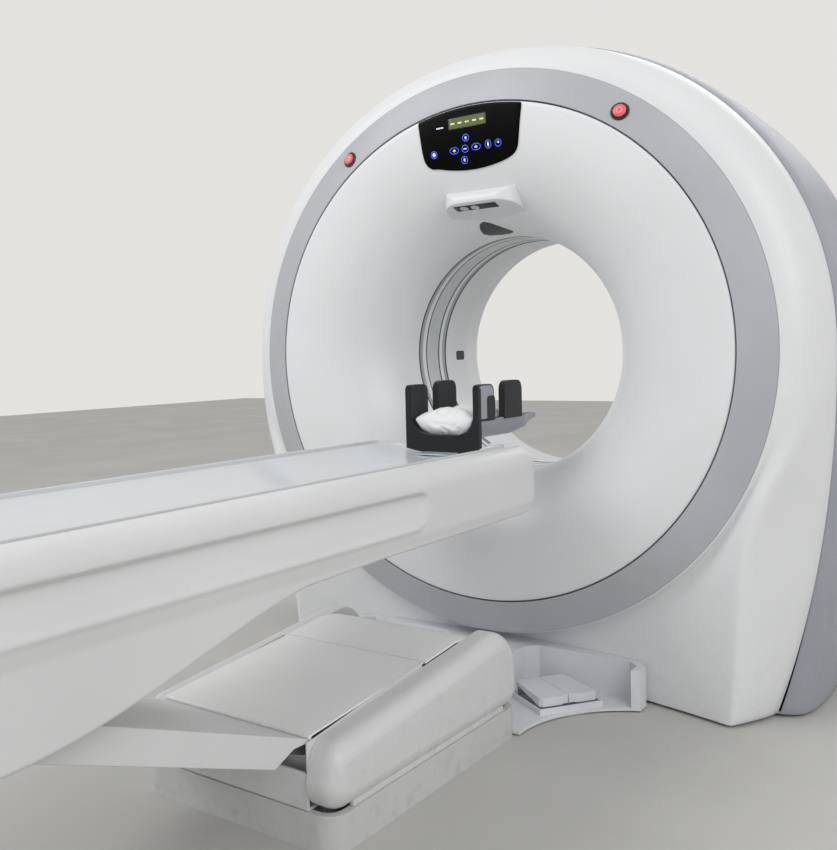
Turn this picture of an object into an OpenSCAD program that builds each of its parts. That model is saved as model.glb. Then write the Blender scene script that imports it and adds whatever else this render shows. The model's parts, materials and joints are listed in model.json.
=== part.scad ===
// Compact whole-body CT scanner: a floor-standing gantry with a 700 mm bore, and a patient
// table on a swing-arm lift in front of it. Millimetres, +Z up, +Y from the table into the
// bore, +X to the right of someone who faces the gantry. The origin is on the floor, under
// the isocentre, at the middle of the gantry's four floor anchors.

/* [Gantry] */
// Height of the isocentre above the floor
iso_z = 930; // [900:5:960]
// Radius of the patient bore
bore_r = 350; // [340:1:356]
// Distance from the scan plane forward to the edge of the front disc
front_depth = 345; // [335:1:365]
// Distance from the scan plane back to the rear face
rear_depth = 395; // [385:1:420]
// Radius of the front disc
disc_r = 698; // [690:1:704]
// Width of the grey trim ring round the disc
ring_w = 92; // [86:1:100]
// How far the trim ring's outer edge lies behind the disc edge
ring_setback = 25; // [18:1:32]
// How far the white front housing stands out beside the trim ring
shell_side = 98; // [90:1:110]
// How far the white front housing stands above the trim ring
shell_rise = 82; // [74:1:94]
// How far the grey rear housing stands wider than the white one
rear_swell = 18; // [10:1:26]
// Distance from the scan plane forward to the seam between the housings
seam_depth = 185; // [170:1:200]
// Wall of the moulded covers
cover_t = 6; // [5:0.5:8]
// Gap between the housings and the floor
floor_gap = 8; // [6:1:12]

/* [Front flare] */
// How deep the front disc is dished towards the bore
flare_depth = 200; // [180:1:215]
// Width of the clear scan window ring
window_w = 70; // [60:1:80]
// Width of each gasket ring in the bore
gasket_w = 24; // [18:1:28]

/* [Rotor] */
// Outer radius of the rotor plate
rotor_r = 700; // [690:1:712]
// Thickness of the rotor plate
rotor_t = 30; // [24:1:34]
// Distance from the scan plane back to the rotor plate
rotor_y = 72; // [68:1:80]
// Radius of a main bearing ball
ball_r = 11; // [9:0.5:12]
// Radius of the circle of bearing balls
ball_pitch_r = 500; // [492:1:508]
// Number of bearing balls
ball_count = 60; // [40:1:72]
// Radius of the motor pulley
pulley_r = 60; // [50:1:70]
// Thickness of the drive belt
belt_t = 5; // [4:0.5:7]

/* [Floor anchors] */
// Distance between the anchor holes across the gantry
anchor_dx = 1180; // [1160:5:1200]
// Distance between the anchor holes along the gantry
anchor_dy = 420; // [400:5:440]
// Radius of an anchor hole
anchor_r = 9; // [7:0.5:11]

/* [Controls] */
// Width of the black control panel at its top edge
panel_w = 326; // [310:1:340]
// Distance from the bore's edge up to the panel's lower edge
panel_rise = 168; // [160:1:176]
// Distance from the disc's edge out to the middle of the stop buttons
stop_out = 43; // [40:1:46]
// Angle of each stop button from the top of the ring
stop_angle = 35; // [30:1:40]
// Radius of a stop button's dome
stop_dome_r = 17; // [15:0.5:18]
// Travel of a stop button
stop_travel = 6; // [4:0.5:7]
// Travel angle of a foot pedal
pedal_travel = 5; // [4:0.5:6]

/* [Table] */
// Height of the cradle's rims above the floor
cradle_z = 694; // [684:1:704]
// Half width of the cradle
cradle_half_w = 208; // [200:1:214]
// Distance from the table top's foot end to the cradle
cradle_setback = 90; // [80:1:140]
// Depth of the cradle's trough
cradle_dip = 44; // [38:1:50]
// Thickness of the cradle
cradle_t = 22; // [18:1:26]
// Half width of the moulded table top shell
shell_w = 268; // [262:1:274]
// Distance from the scan plane to the nose of the table top
nose_y = -452; // [-470:1:-440]
// Length of the table top
top_len = 2323; // [2300:1:2350]
// Height of the lower edge of the table top shell
shell_low = 530; // [524:1:540]
// Height of the deep skirt at the foot end
skirt_low = 400; // [390:1:412]

/* [Table base] */
// Half width of the table base
base_half_w = 263; // [258:1:268]
// Foot end of the table base
base_foot_y = -1388; // [-1398:1:-1378]
// Gantry end of the table base
base_head_y = -638; // [-648:1:-630]
// Height of the plinth
plinth_h = 73; // [70:1:78]
// Height of the band above the plinth at the foot end
band_top = 147; // [143:1:150]
// Half width of the gap between the side pods
pod_inner = 200; // [196:1:204]
// Outer face of a side pod
pod_outer = 268; // [264:1:274]

/* [Lift] */
// Lower pivot of the lift arm along the table
pivot_y = -1300; // [-1310:1:-1290]
// Lower pivot of the lift arm above the floor
pivot_z = 159; // [157:1:161]
// Distance between the lower and the upper pivot
arm_len = 986; // [976:1:996]
// Slope of the lift arm as photographed
arm_angle = 20.2; // [19.6:0.1:20.6]
// Radius of the pivot pins
pin_r = 12; // [10:0.5:13]
// Height between the arm's pivots and the levelling link's pivots
link_drop = 24; // [23:1:25]

/* [Hidden] */
$fn = 96;
big_fn = 180;
fit = 0.3;

ring_r = disc_r + ring_w;
shell_half_w = ring_r + shell_side;
shell_top = ring_r + shell_rise;
stop_r = disc_r + stop_out;

front_y = -front_depth;
seam_y = -seam_depth;
rear_y = rear_depth;
gasket_in = window_w / 2 + 6;
front_bore_end = -(gasket_in + 20 + gasket_w);
rear_bore_start = gasket_in + 20 + gasket_w;

// Rings and lofts. A ring is a list of points, all rings have the same number of points,
// and a shell is the space between two nets of such rings.
function mix(a, b, t) = a + (b - a) * t;
function clamp01(t) = min(1, max(0, t));
function smooth(t) = let (c = clamp01(t)) c * c * (3 - 2 * c);
function net_faces(rows, cols, first, flip) = [
    for (i = [0:rows - 2], j = [0:cols - 1], half = [0, 1])
        let (
            a = first + i * cols + j,
            b = first + i * cols + (j + 1) % cols,
            c = a + cols,
            d = b + cols,
            tri = half == 0 ? [a, b, d] : [a, d, c]
        )
        flip ? [tri[2], tri[1], tri[0]] : tri
];
function edge_faces(cols, outer_row, inner_row, flip) = [
    for (j = [0:cols - 1], half = [0, 1])
        let (
            a = outer_row + j,
            b = outer_row + (j + 1) % cols,
            c = inner_row + j,
            d = inner_row + (j + 1) % cols,
            tri = half == 0 ? [a, b, d] : [a, d, c]
        )
        flip ? [tri[2], tri[1], tri[0]] : tri
];
module ring_shell(outer, inner) {
    rows = len(outer);
    cols = len(outer[0]);
    count = rows * cols;
    points = [for (ring = outer, p = ring) p];
    backs = [for (ring = inner, p = ring) p];
    polyhedron(
        points = concat(points, backs),
        faces = concat(
            net_faces(rows, cols, 0, false),
            net_faces(rows, cols, count, true),
            edge_faces(cols, 0, count, true),
            edge_faces(cols, count - cols, 2 * count - cols, false)
        ),
        convexity = 8
    );
}

// Turns a profile of [radius, y] points about the bore's axis.
module revolve_y(profile) {
    translate([0, 0, iso_z])
        rotate([-90, 0, 0])
            rotate_extrude($fn = big_fn)
                polygon(profile);
}
// A ring of rectangular section about the bore's axis.
module bore_ring(r1, r2, y1, y2) {
    revolve_y([[r1, y1], [r2, y1], [r2, y2], [r1, y2]]);
}
// Places a child at an angle from the top of the gantry, at a radius, facing outwards.
module around(angle, radius) {
    translate([0, 0, iso_z])
        rotate([0, angle, 0])
            translate([0, 0, radius])
                children();
}
// A round bar along X, Y or Z between two places.
module bar_x(x1, x2, y, z, r) {
    translate([x1, y, z])
        rotate([0, 90, 0])
            cylinder(r = r, h = x2 - x1);
}
module bar_y(x, y1, y2, z, r) {
    translate([x, y1, z])
        rotate([-90, 0, 0])
            cylinder(r = r, h = y2 - y1);
}
module block(x1, x2, y1, y2, z1, z2) {
    translate([x1, y1, z1])
        cube([x2 - x1, y2 - y1, z2 - z1]);
}
// Extrudes an outline of [y, z] points across the table.
module across(outline, x1, x2) {
    translate([x1, 0, 0])
        rotate([90, 0, 90])
            linear_extrude(x2 - x1)
                polygon(outline);
}
// Extrudes an outline of [x, z] points along the table.
module along(outline, y1, y2) {
    translate([0, y2, 0])
        rotate([90, 0, 0])
            linear_extrude(y2 - y1)
                polygon(outline);
}
module both_sides() {
    children();
    mirror([1, 0, 0])
        children();
}
function arc(cx, cy, r, a1, a2, n) = [
    for (i = [0:n]) let (a = mix(a1, a2, i / n)) [cx + r * cos(a), cy + r * sin(a)]
];
function mirrored(points) = concat(
    points,
    [for (i = [len(points) - 1:-1:0]) [-points[i][0], points[i][1]]]
);

// Front flare: from flat at the disc's edge to a cylinder at the bore.
flare_shape = 0.75;
flare_power = 2.3;
flare_steps = 20;
flare_r = bore_r + 2;
function flare_y(r) =
    front_y + flare_depth * pow(1 - pow(clamp01((r - flare_r) / (disc_r - flare_r)), flare_shape), flare_power);
function flare_radius(i) = flare_r + (disc_r - flare_r) * pow(i / flare_steps, 1.6);
function flare_curve(lift, last_r) = [
    for (i = [flare_steps:-1:0])
        let (r = flare_radius(i))
        if (r <= last_r) [r, flare_y(r) - lift]
];
// A point of the flare, lifted off it along its normal.
function flare_lifted(i, lift) =
    let (
        r = flare_radius(i),
        d = [0.2, flare_y(r + 0.1) - flare_y(r - 0.1)],
        n = [d[1], -d[0]] / norm(d)
    )
    [r, flare_y(r)] + lift * n;

// Housing outlines: an oval over the isocentre, and sides that draw in towards the floor. Each
// outline is closed a little under the floor, and the housings are then cut off level.
oval_power = 2.06;
white_b = 1700;
grey_b = 2240;
sunk = iso_z + 45;
top_steps = 40;
side_steps = 12;
base_steps = 16;
function oval_r(a, w, top, b) = sin(a) >= 0
    ? pow(pow(abs(cos(a)) / w, oval_power) + pow(sin(a) / top, oval_power), -1 / oval_power)
    : 1 / sqrt(pow(cos(a) / w, 2) + pow(sin(a) / b, 2));
function sunk_w(w, b) = w * sqrt(1 - pow(sunk / b, 2));
function sunk_angle(w, b) = atan(sunk / sunk_w(w, b));
function arch_angles(w, b) = let (f = sunk_angle(w, b)) concat(
    [for (i = [0:side_steps - 1]) mix(-f, 0, i / side_steps)],
    [for (i = [0:top_steps - 1]) 180 * i / top_steps],
    [for (i = [0:side_steps]) mix(180, 180 + f, i / side_steps)]
);
// The arch runs from the right floor corner over the top to the left one.
function arch(w, top, b) = [
    for (a = arch_angles(w, b)) let (r = oval_r(a, w, top, b)) [r * cos(a), r * sin(a)]
];
function closing_line(half) = [
    for (i = [1:base_steps - 1]) [mix(-half, half, i / base_steps), -sunk]
];
function with_y(p, y) = [p[0], y, iso_z + p[1]];
module cut_level() {
    difference() {
        children();
        translate([-1000, -600, -200])
            cube([2000, 1200, 200 + floor_gap]);
    }
}

// Front housing. Over the top, the wall rolls from the trim ring out to the seam. Below, it
// runs back under the drum, down to a front face over the floor, and round a soft corner.
rim_r = ring_r + 1.2;
rim_y = front_y + ring_setback + 2;
drum_r = ring_r + 7;
cove_depth = 98;
foot_x = 672;
foot_y = front_y + 10;
foot_mid_y = front_y + 125;
path_steps = 11;
function crease_x(z) =
    let (line = foot_x + 0.06 * (z + iso_z), reach = drum_r + 9)
    max(line, abs(z) < reach ? sqrt(reach * reach - z * z) : 0);
function cove(a) = cove_depth * smooth((-8 - a) / 100);
function path_upper(p) = let (r = norm(p), u = p / r) [
    for (i = [0:path_steps - 1])
        let (phi = 90 * i / (path_steps - 1))
        with_y(u * (rim_r + (r - rim_r) * sin(phi)), mix(rim_y, seam_y, 1 - cos(phi)))
];
function path_start(c) =
    let (u = c / norm(c), by = rim_y + 5 + cove(-abs(atan2(c[1], abs(c[0])))))
    [with_y(u * rim_r, rim_y), with_y(u * drum_r, rim_y + 5), with_y(u * drum_r, by)];
function between(p, q, shares) = [for (t = shares) mix(p, q, t)];
side_run = [
    // [share of the way out, share of the way back to the seam]
    [0, 0], [0.13, 0.04], [0.3, 0.16], [0.66, 0.5], [0.94, 0.8], [1, 1]
];
function path_lower(c, cy, o) =
    let (start = path_start(c), drum = start[2], corner = with_y(c, cy))
    concat(
        start,
        between(drum, corner, [0.35, 0.7]),
        [for (s = side_run) with_y(mix(c, o, s[0]), mix(cy, seam_y, s[1]))]
    );
function arch_path(o) =
    o[1] > -60 ? path_upper(o)
    : let (
        z = o[1],
        corner = [sign(o[0]) * crease_x(z), z],
        cy = mix(front_y + ring_setback, foot_y, clamp01((-z - 300) / 620)),
        t = smooth((-z - 60) / 330)
    )
    between_paths(path_upper(o), path_lower(corner, cy, o), t);
function between_paths(p, q, t) = [for (i = [0:path_steps - 1]) mix(p[i], q[i], t)];
function base_path(o) =
    let (
        x = o[0] * foot_x / sunk_w(shell_half_w, white_b),
        fy = mix(foot_mid_y, foot_y, pow(x / foot_x, 2)),
        floor_edge = [x, fy, floor_gap],
        sunk_edge = [x, fy, iso_z - sunk],
        start = path_start([x, floor_gap - iso_z])
    )
    concat(
        start,
        between(start[2], floor_edge, [0.35, 0.7, 1]),
        between(sunk_edge, with_y(o, seam_y), [0, 0.25, 0.5, 0.75, 1])
    );
function white_paths() = concat(
    [for (o = arch(shell_half_w, shell_top, white_b)) arch_path(o)],
    [for (o = closing_line(sunk_w(shell_half_w, white_b))) base_path(o)]
);
function inward(p, radial, back) =
    let (q = [p[0], 0, p[2] - iso_z], u = q / norm(q))
    p - u * radial + [0, back, 0];
function white_inner(path) = let (n = len(path) - 1) [
    for (i = [0:n]) inward(path[i], i == 0 ? 0 : cover_t, i == n ? 0 : cover_t)
];
function turned(paths) = [for (i = [0:len(paths[0]) - 1]) [for (p = paths) p[i]]];

module front_housing() {
    color("#DDE2E6") {
        paths = white_paths();
        cut_level()
            ring_shell(turned(paths), turned([for (p = paths) white_inner(p)]));
    }
}

// Rear housing: it swells a little behind the seam and rolls round to the rear face.
rear_hole_r = 712;
grey_stations = [
    // [distance back from the seam, share of the swell, pull-in]
    [fit, 0.1, 0],
    [14, 0.38, 0],
    [32, 0.62, 0],
    [80, 0.84, 0],
    [180, 1, 0],
    [330, 1, 0],
    [450, 0.85, 0],
    [520, 0.5, 8],
    [558, 0.2, 26],
    [576, 0, 52],
    [580, 0, 78]
];
function grey_y(s) = seam_y + s[0] * (rear_y - seam_y) / 580;
function grey_ring(s) =
    let (
        w = shell_half_w + s[1] * rear_swell - s[2],
        top = shell_top + s[1] * (rear_swell - 4) - s[2],
        b = mix(white_b, grey_b, s[1])
    )
    [for (p = concat(arch(w, top, b), closing_line(sunk_w(w, b)))) with_y(p, grey_y(s))];
function rear_circle(p, y) =
    let (q = [p[0], p[2] - iso_z])
    with_y(q / norm(q) * rear_hole_r, y);
function grey_rings() =
    let (rings = [for (s = grey_stations) grey_ring(s)], last = rings[len(rings) - 1])
    concat(rings, [[for (p = last) rear_circle(p, rear_y + 1)]]);
function grey_inner(rings) = let (n = len(rings) - 1) [
    for (i = [0:n])
        [for (p = rings[i]) inward(p, i == n ? 0 : cover_t, i == 0 ? 0 : -cover_t)]
];

// Inside radius of the rear housing where the frame's brackets carry it.
function grey_inside(a) =
    oval_r(a, shell_half_w + 0.95 * rear_swell, shell_top + 0.95 * (rear_swell - 4), grey_b) - cover_t;

module rear_housing() {
    color("#8F939C")
        cut_level()
            ring_shell(grey_rings(), grey_inner(grey_rings()));
}

// Front cover: the white disc with its flare, down to the bore's first gasket.
module front_cover() {
    edge_back = 22;
    color("#D2D6DA")
        revolve_y(concat(
            [[disc_r - cover_t, front_y + edge_back], [disc_r, front_y + edge_back]],
            flare_curve(0, disc_r),
            [[bore_r, front_y + flare_depth + 12], [bore_r, front_bore_end]],
            [[bore_r + cover_t, front_bore_end], [bore_r + cover_t, front_y + flare_depth + 12]],
            [
                for (i = [0:flare_steps])
                    let (r = flare_radius(i))
                    if (r < disc_r - cover_t) [r + cover_t * (1 - i / flare_steps), flare_y(r) + cover_t]
            ],
            [[disc_r - cover_t, front_y + cover_t]]
        ));
}

// Trim ring: a shallow cone with a flange inside that the disc's edge sits against.
trim_gap = 4;
trim_in = disc_r + trim_gap;
function trim_y(r) = front_y + ring_setback * pow((r - trim_in) / (ring_r - trim_in), 1.3);
trim_slope = atan(
    1.3 * ring_setback / (ring_r - trim_in) * pow((stop_r - trim_in) / (ring_r - trim_in), 0.3)
);
stop_y = trim_y(stop_r);
bezel_r = 24;
guide_r = stop_dome_r + fit;
module stop_frame(side) {
    translate([0, 0, iso_z])
        rotate([0, side * stop_angle, 0])
            translate([0, stop_y, stop_r])
                rotate([90 - trim_slope, 0, 0])
                    children();
}
module trim_ring() {
    steps = 10;
    color("#A6A8AD")
        difference() {
            revolve_y(concat(
                [[disc_r - 14, front_y + 30], [disc_r - 14, front_y + 22.3], [trim_in, front_y + 22.3]],
                [for (i = [0:steps]) let (r = mix(trim_in, ring_r, i / steps)) [r, trim_y(r)]],
                [[ring_r, front_y + ring_setback + 14], [ring_r - 5, front_y + ring_setback + 14]],
                [
                    for (i = [steps:-1:0])
                        let (r = mix(trim_in + 5, ring_r - 5, i / steps))
                        [r, trim_y(r) + 5]
                ],
                [[trim_in + 5, front_y + 30]]
            ));
            for (side = [-1, 1])
                stop_frame(side)
                    translate([0, 0, -20])
                        cylinder(r = bezel_r - 3, h = 40);
        }
}

// Bore: gaskets, liners and the clear window between the two covers.
module bore_gaskets() {
    color("#5E6562") {
        bore_ring(bore_r, bore_r + 4, front_bore_end, front_bore_end + gasket_w);
        bore_ring(bore_r, bore_r + 4, -gasket_in, -gasket_in + 6);
        bore_ring(bore_r, bore_r + 4, gasket_in - 6, gasket_in);
        bore_ring(bore_r, bore_r + 4, rear_bore_start - gasket_w, rear_bore_start);
    }
}
module bore_liners() {
    color("#D4D7D8") {
        bore_ring(bore_r, bore_r + 5, front_bore_end + gasket_w, -gasket_in);
        bore_ring(bore_r, bore_r + 5, gasket_in, rear_bore_start - gasket_w);
    }
}
module scan_window() {
    color("#C2C8CC")
        bore_ring(bore_r, bore_r + 2, -window_w / 2, window_w / 2);
}

// Rear cover: bore wall behind the window, then a short flare and a rear disc.
rear_flare_start = 215;
rear_mouth_r = bore_r + 14;
port_y = 182;
port_l = 55;
port_h = 31;
module rear_cover() {
    steps = 10;
    lip_y = rear_y - 89;
    wide_r = 470;
    disc_end = rear_hole_r - 1.1;
    color("#C9CCD0")
        difference() {
            revolve_y(concat(
                [[bore_r, rear_bore_start], [bore_r, rear_flare_start], [rear_mouth_r, lip_y]],
                [
                    for (i = [1:steps])
                        [
                            rear_mouth_r + (wide_r - rear_mouth_r) * (1 - cos(90 * i / steps)),
                            lip_y + (rear_y - lip_y) * sin(90 * i / steps)
                        ]
                ],
                [[disc_end, rear_y], [disc_end, rear_y - cover_t], [wide_r, rear_y - cover_t]],
                [
                    for (i = [steps - 1:-1:1])
                        [
                            rear_mouth_r + cover_t + (wide_r - rear_mouth_r) * (1 - cos(90 * i / steps)),
                            lip_y - cover_t + (rear_y - lip_y) * sin(90 * i / steps)
                        ]
                ],
                [[rear_mouth_r + cover_t, lip_y - 4], [bore_r + cover_t, rear_flare_start]],
                [[bore_r + cover_t, rear_bore_start]]
            ));
            port_cut(fit, 40);
        }
}
// The two small dark ports for the side alignment lasers.
module port_shape(grow, depth) {
    rotate([0, 90, 0])
        linear_extrude(depth, center = true)
            hull()
                for (sx = [-1, 1], sy = [-1, 1])
                    translate([sx * (port_h / 2 - 8), sy * (port_l / 2 - 8)])
                        circle(r = 8 + grow, $fn = 24);
}
module port_cut(grow, depth) {
    for (side = [-1, 1])
        translate([side * (bore_r + 3), port_y, iso_z - 5])
            rotate([0, side > 0 ? 0 : 180, 0])
                port_shape(grow, depth);
}
module side_laser_windows() {
    color("#3A3F3C")
        intersection() {
            port_cut(0, 40);
            bore_ring(bore_r + 1, bore_r + 4, port_y - port_l, port_y + port_l);
        }
}

// Gantry structure.
beam_x = 590;
beam_w = 120;
base_h = 60;
base_front_y = -250;
base_rear_y = 330;
feet_ys = [base_front_y + 90, base_rear_y - 24];
module gantry_base() {
    color("#4A4F57")
        difference() {
            union() {
                for (side = [-1, 1])
                    block(
                        side * beam_x - beam_w / 2, side * beam_x + beam_w / 2,
                        base_front_y, base_rear_y, 0, 18
                    );
                for (side = [-1, 1], edge = [-1, 1])
                    block(
                        side * beam_x + edge * 50 - 8, side * beam_x + edge * 50 + 8,
                        base_front_y, base_rear_y, 10, base_h
                    );
                for (y = [frame_y1 - 40, base_rear_y - 60])
                    block(-beam_x + 50, beam_x - 50, y, y + 60, 20, base_h);
            }
            for (sx = [-1, 1], sy = [-1, 1])
                translate([sx * anchor_dx / 2, sy * anchor_dy / 2, -1])
                    cylinder(r = anchor_r, h = 40);
            for (side = [-1, 1], y = feet_ys)
                translate([side * beam_x, y, -1])
                    cylinder(r = foot_screw_r, h = 40);
        }
}
foot_screw_r = 10;
module levelling_feet() {
    color("#B8BCC2")
        for (side = [-1, 1], y = feet_ys)
            translate([side * beam_x, y, 0]) {
                cylinder(r = foot_screw_r, h = 42);
                translate([0, 0, 18])
                    cylinder(r = 19, h = 12, $fn = 6);
            }
}

frame_y1 = 158;
frame_t = 24;
frame_hole_r = 530;
frame_ring_r = 690;
module stationary_frame() {
    leg_in = 440;
    leg_out = 715;
    color("#6B7078")
        difference() {
            union() {
                bore_ring(frame_hole_r, frame_ring_r, frame_y1, frame_y1 + frame_t);
                for (side = [-1, 1])
                    along([
                        [side * leg_in, base_h],
                        [side * leg_out, base_h],
                        [side * (leg_out + 20), iso_z - 180],
                        [side * (frame_hole_r + 30), iso_z - 180],
                        [side * leg_in, iso_z - 420]
                    ], frame_y1, frame_y1 + frame_t);
                for (side = [-1, 1])
                    block(
                        side * (leg_in + 30) - 8, side * (leg_in + 30) + 8,
                        frame_y1 + frame_t, base_rear_y - 40, base_h, iso_z - 420
                    );
                for (a = [-90, -45, 45, 90])
                    around(a, frame_ring_r - 10)
                        translate([-12, frame_y1, 0])
                            cube([24, frame_t, grey_inside(90 - abs(a)) - 0.8 - frame_ring_r + 10]);
            }
            bar_y(motor_x, frame_y1 - 1, frame_y1 + frame_t + 1, motor_z, 16);
            for (i = [0:23])
                around(15 * i, (frame_hole_r + 12))
                    bar_y(0, frame_y1 - 1, frame_y1 + frame_t + 1, 0, 5);
        }
}
race_y1 = rotor_y + rotor_t + 8;
race_y2 = frame_y1;
race_mid = (race_y1 + race_y2) / 2;
race_gap = 3;
ball_seat = ball_r + 0.2;
module race_groove() {
    translate([0, race_mid, iso_z])
        rotate([-90, 0, 0])
            rotate_extrude($fn = big_fn)
                translate([ball_pitch_r, 0])
                    circle(r = ball_seat, $fn = 32);
}
module bearing_outer_race() {
    color("#9A9EA4")
        difference() {
            bore_ring(ball_pitch_r + race_gap, frame_hole_r + 28, race_y1 + 2, race_y2);
            race_groove();
            for (i = [0:23])
                around(15 * i, (frame_hole_r + 12))
                    bar_y(0, race_y1, race_y2 + 1, 0, 5);
        }
}
module bearing_balls() {
    color("#D8DADD")
        for (i = [0:ball_count - 1])
            around(i * 360 / ball_count, ball_pitch_r)
                translate([0, race_mid, 0])
                    sphere(r = ball_r, $fn = 24);
}
hub_r1 = 410;
hub_r2 = 428;
module bearing_inner_race() {
    color("#A9ADB3")
        difference() {
            bore_ring(hub_r2 + 12, ball_pitch_r - race_gap, race_y1 - 8, race_y2 - 4);
            race_groove();
        }
}

// Rotor: a plate that carries the tube, generator, detector and data unit round the bore.
tube_r = 118;
tube_len = 230;
tube_at = 560;
module rotor_plate() {
    color("#7C828A")
        difference() {
            union() {
                bore_ring(hub_r1, rotor_r, rotor_y, rotor_y + rotor_t);
                bore_ring(hub_r1, hub_r2, rotor_y, slip_y + 40);
            }
            for (a = [22.5:45:337.5])
                around(a, 610)
                    bar_y(0, rotor_y - 1, rotor_y + rotor_t + 1, 0, 34);
        }
}
// A box that a bracket holds against the front of the rotor plate.
module rotor_box(angle, radius, w, h, depth) {
    around(angle, radius)
        translate([-w / 2, rotor_y - depth, -h / 2])
            cube([w, depth, h]);
}
module xray_tube() {
    color("#C4C7CB")
        around(0, tube_at) {
            bar_y(0, rotor_y - tube_len, rotor_y - 20, 0, tube_r);
            bar_y(0, rotor_y - 20, rotor_y, 0, tube_r - 30);
            bar_y(0, rotor_y - tube_len - 14, rotor_y - tube_len, 0, tube_r - 44);
            translate([-46, -60, -tube_r - 14])
                cube([92, 120, 40]);
        }
}
module collimator() {
    color("#54585F")
        difference() {
            around(0, 0)
                translate([-80, -70, tube_at - tube_r - 14 - 42])
                    cube([160, 140, 42]);
            around(0, 0)
                translate([-60, -12, 300])
                    cube([120, 24, 200]);
        }
}
module tube_cooler() {
    color("#8D949C")
        difference() {
            rotor_box(38, 590, 170, 150, 200);
            around(38, 590)
                for (i = [-3:3])
                    translate([i * 20 - 4, rotor_y - 210, 40])
                        cube([8, 180, 60]);
        }
}
module hv_generator() {
    color("#B9BDC1") {
        rotor_box(-52, 575, 250, 150, 210);
        rotor_box(-88, 590, 150, 130, 190);
    }
}
module data_unit() {
    color("#5F6A62") {
        rotor_box(90, 590, 190, 120, 150);
    }
}
detector_half = 27;
module detector() {
    r1 = 590;
    r2 = 655;
    color("#3D4654")
        translate([0, 0, iso_z])
            rotate([-90, 0, 0])
                rotate([0, 0, 90 - detector_half])
                    rotate_extrude(angle = 2 * detector_half, $fn = big_fn)
                        polygon([
                            [r1, -60], [r2, -60], [r2, rotor_y], [r1, rotor_y],
                            [r1, 34], [r1 - 9, 34], [r1 - 9, -34], [r1, -34]
                        ]);
}
module counterweights() {
    color("#44484E")
        for (a = [116, 136, -116, -136])
            rotor_box(a, 560, 110, 80, 60 + abs(a) / 5);
}
slip_y = frame_y1 + frame_t + 8;
module slip_ring() {
    color("#C9A24A")
        difference() {
            bore_ring(hub_r2, 470, slip_y + 2, slip_y + 34);
            for (i = [0:4])
                bore_ring(466, 480, slip_y + 6 + 5.5 * i, slip_y + 8.5 + 5.5 * i);
        }
}
module brush_block() {
    color("#2E3136")
        around(-40, 0) {
            translate([-45, slip_y + 4, 471])
                cube([90, 28, 50]);
            translate([-30, frame_y1 + frame_t, 521])
                cube([60, 36, 40]);
        }
}
// Belt drive: the motor sits on the frame's foot, and its belt runs on the plate's rim.
motor_x = 640;
motor_z = 262;
belt_y1 = rotor_y + 4;
belt_y2 = rotor_y + rotor_t - 4;
motor_dist = norm([motor_x, iso_z - motor_z]);
module drive_motor() {
    color("#50555C") {
        bar_y(motor_x, frame_y1 + frame_t + fit, frame_y1 + 150, motor_z, 62);
        bar_y(motor_x, belt_y1, frame_y1 + frame_t + 1, motor_z, 12);
        block(motor_x - 28, motor_x + 80, frame_y1 + 30, frame_y1 + 120, base_h, motor_z - 50);
    }
}
module drive_pulley() {
    color("#A0A4AA")
        difference() {
            bar_y(motor_x, belt_y1 - 2, belt_y2 + 2, motor_z, pulley_r);
            bar_y(motor_x, belt_y1 - 5, belt_y2 + 5, motor_z, 12.06);
        }
}
// The belt's two straight runs are tangents to the plate's rim and the pulley.
belt_dir = atan2(motor_z - iso_z, motor_x);
belt_lean = acos((rotor_r - pulley_r) / motor_dist);
module belt_run(side, grow) {
    a = belt_dir + side * belt_lean;
    p = [(rotor_r + grow) * cos(a), (rotor_r + grow) * sin(a)];
    q = [motor_x + (pulley_r + grow) * cos(a), motor_z - iso_z + (pulley_r + grow) * sin(a)];
    n = belt_t * [cos(a), sin(a)];
    polygon([p, q, q + n, p + n]);
}
module drive_belt() {
    color("#26282B")
        translate([0, belt_y2, iso_z])
            rotate([90, 0, 0])
                linear_extrude(belt_y2 - belt_y1) {
                    for (side = [-1, 1])
                        belt_run(side, fit);
                    difference() {
                        circle(r = rotor_r + fit + belt_t, $fn = big_fn);
                        circle(r = rotor_r + fit, $fn = big_fn);
                        belt_wedge([0, 0], 2000, 1);
                    }
                    difference() {
                        translate([motor_x, motor_z - iso_z])
                            circle(r = pulley_r + fit + belt_t);
                        translate([motor_x, motor_z - iso_z])
                            circle(r = pulley_r + fit);
                        belt_wedge([motor_x, motor_z - iso_z], 400, -1);
                    }
                }
}
// The sector between the two tangent points, as seen from a wheel's centre.
module belt_wedge(centre, reach, way) {
    a = way > 0 ? belt_lean : 180 - belt_lean;
    mid = way > 0 ? belt_dir : belt_dir + 180;
    translate(centre)
        polygon(concat(
            [[0, 0]],
            [for (i = [-4:4]) let (t = mid + a * i / 4) reach * [cos(t), sin(t)]]
        ));
}

// Control panel: a thin black plate that follows the disc, with a display and key rings.
module flare_skin(low, high) {
    revolve_y(concat(
        [for (i = [flare_steps:-1:1]) flare_lifted(i, high)],
        [for (i = [1:flare_steps]) flare_lifted(i, low)]
    ));
}
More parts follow.
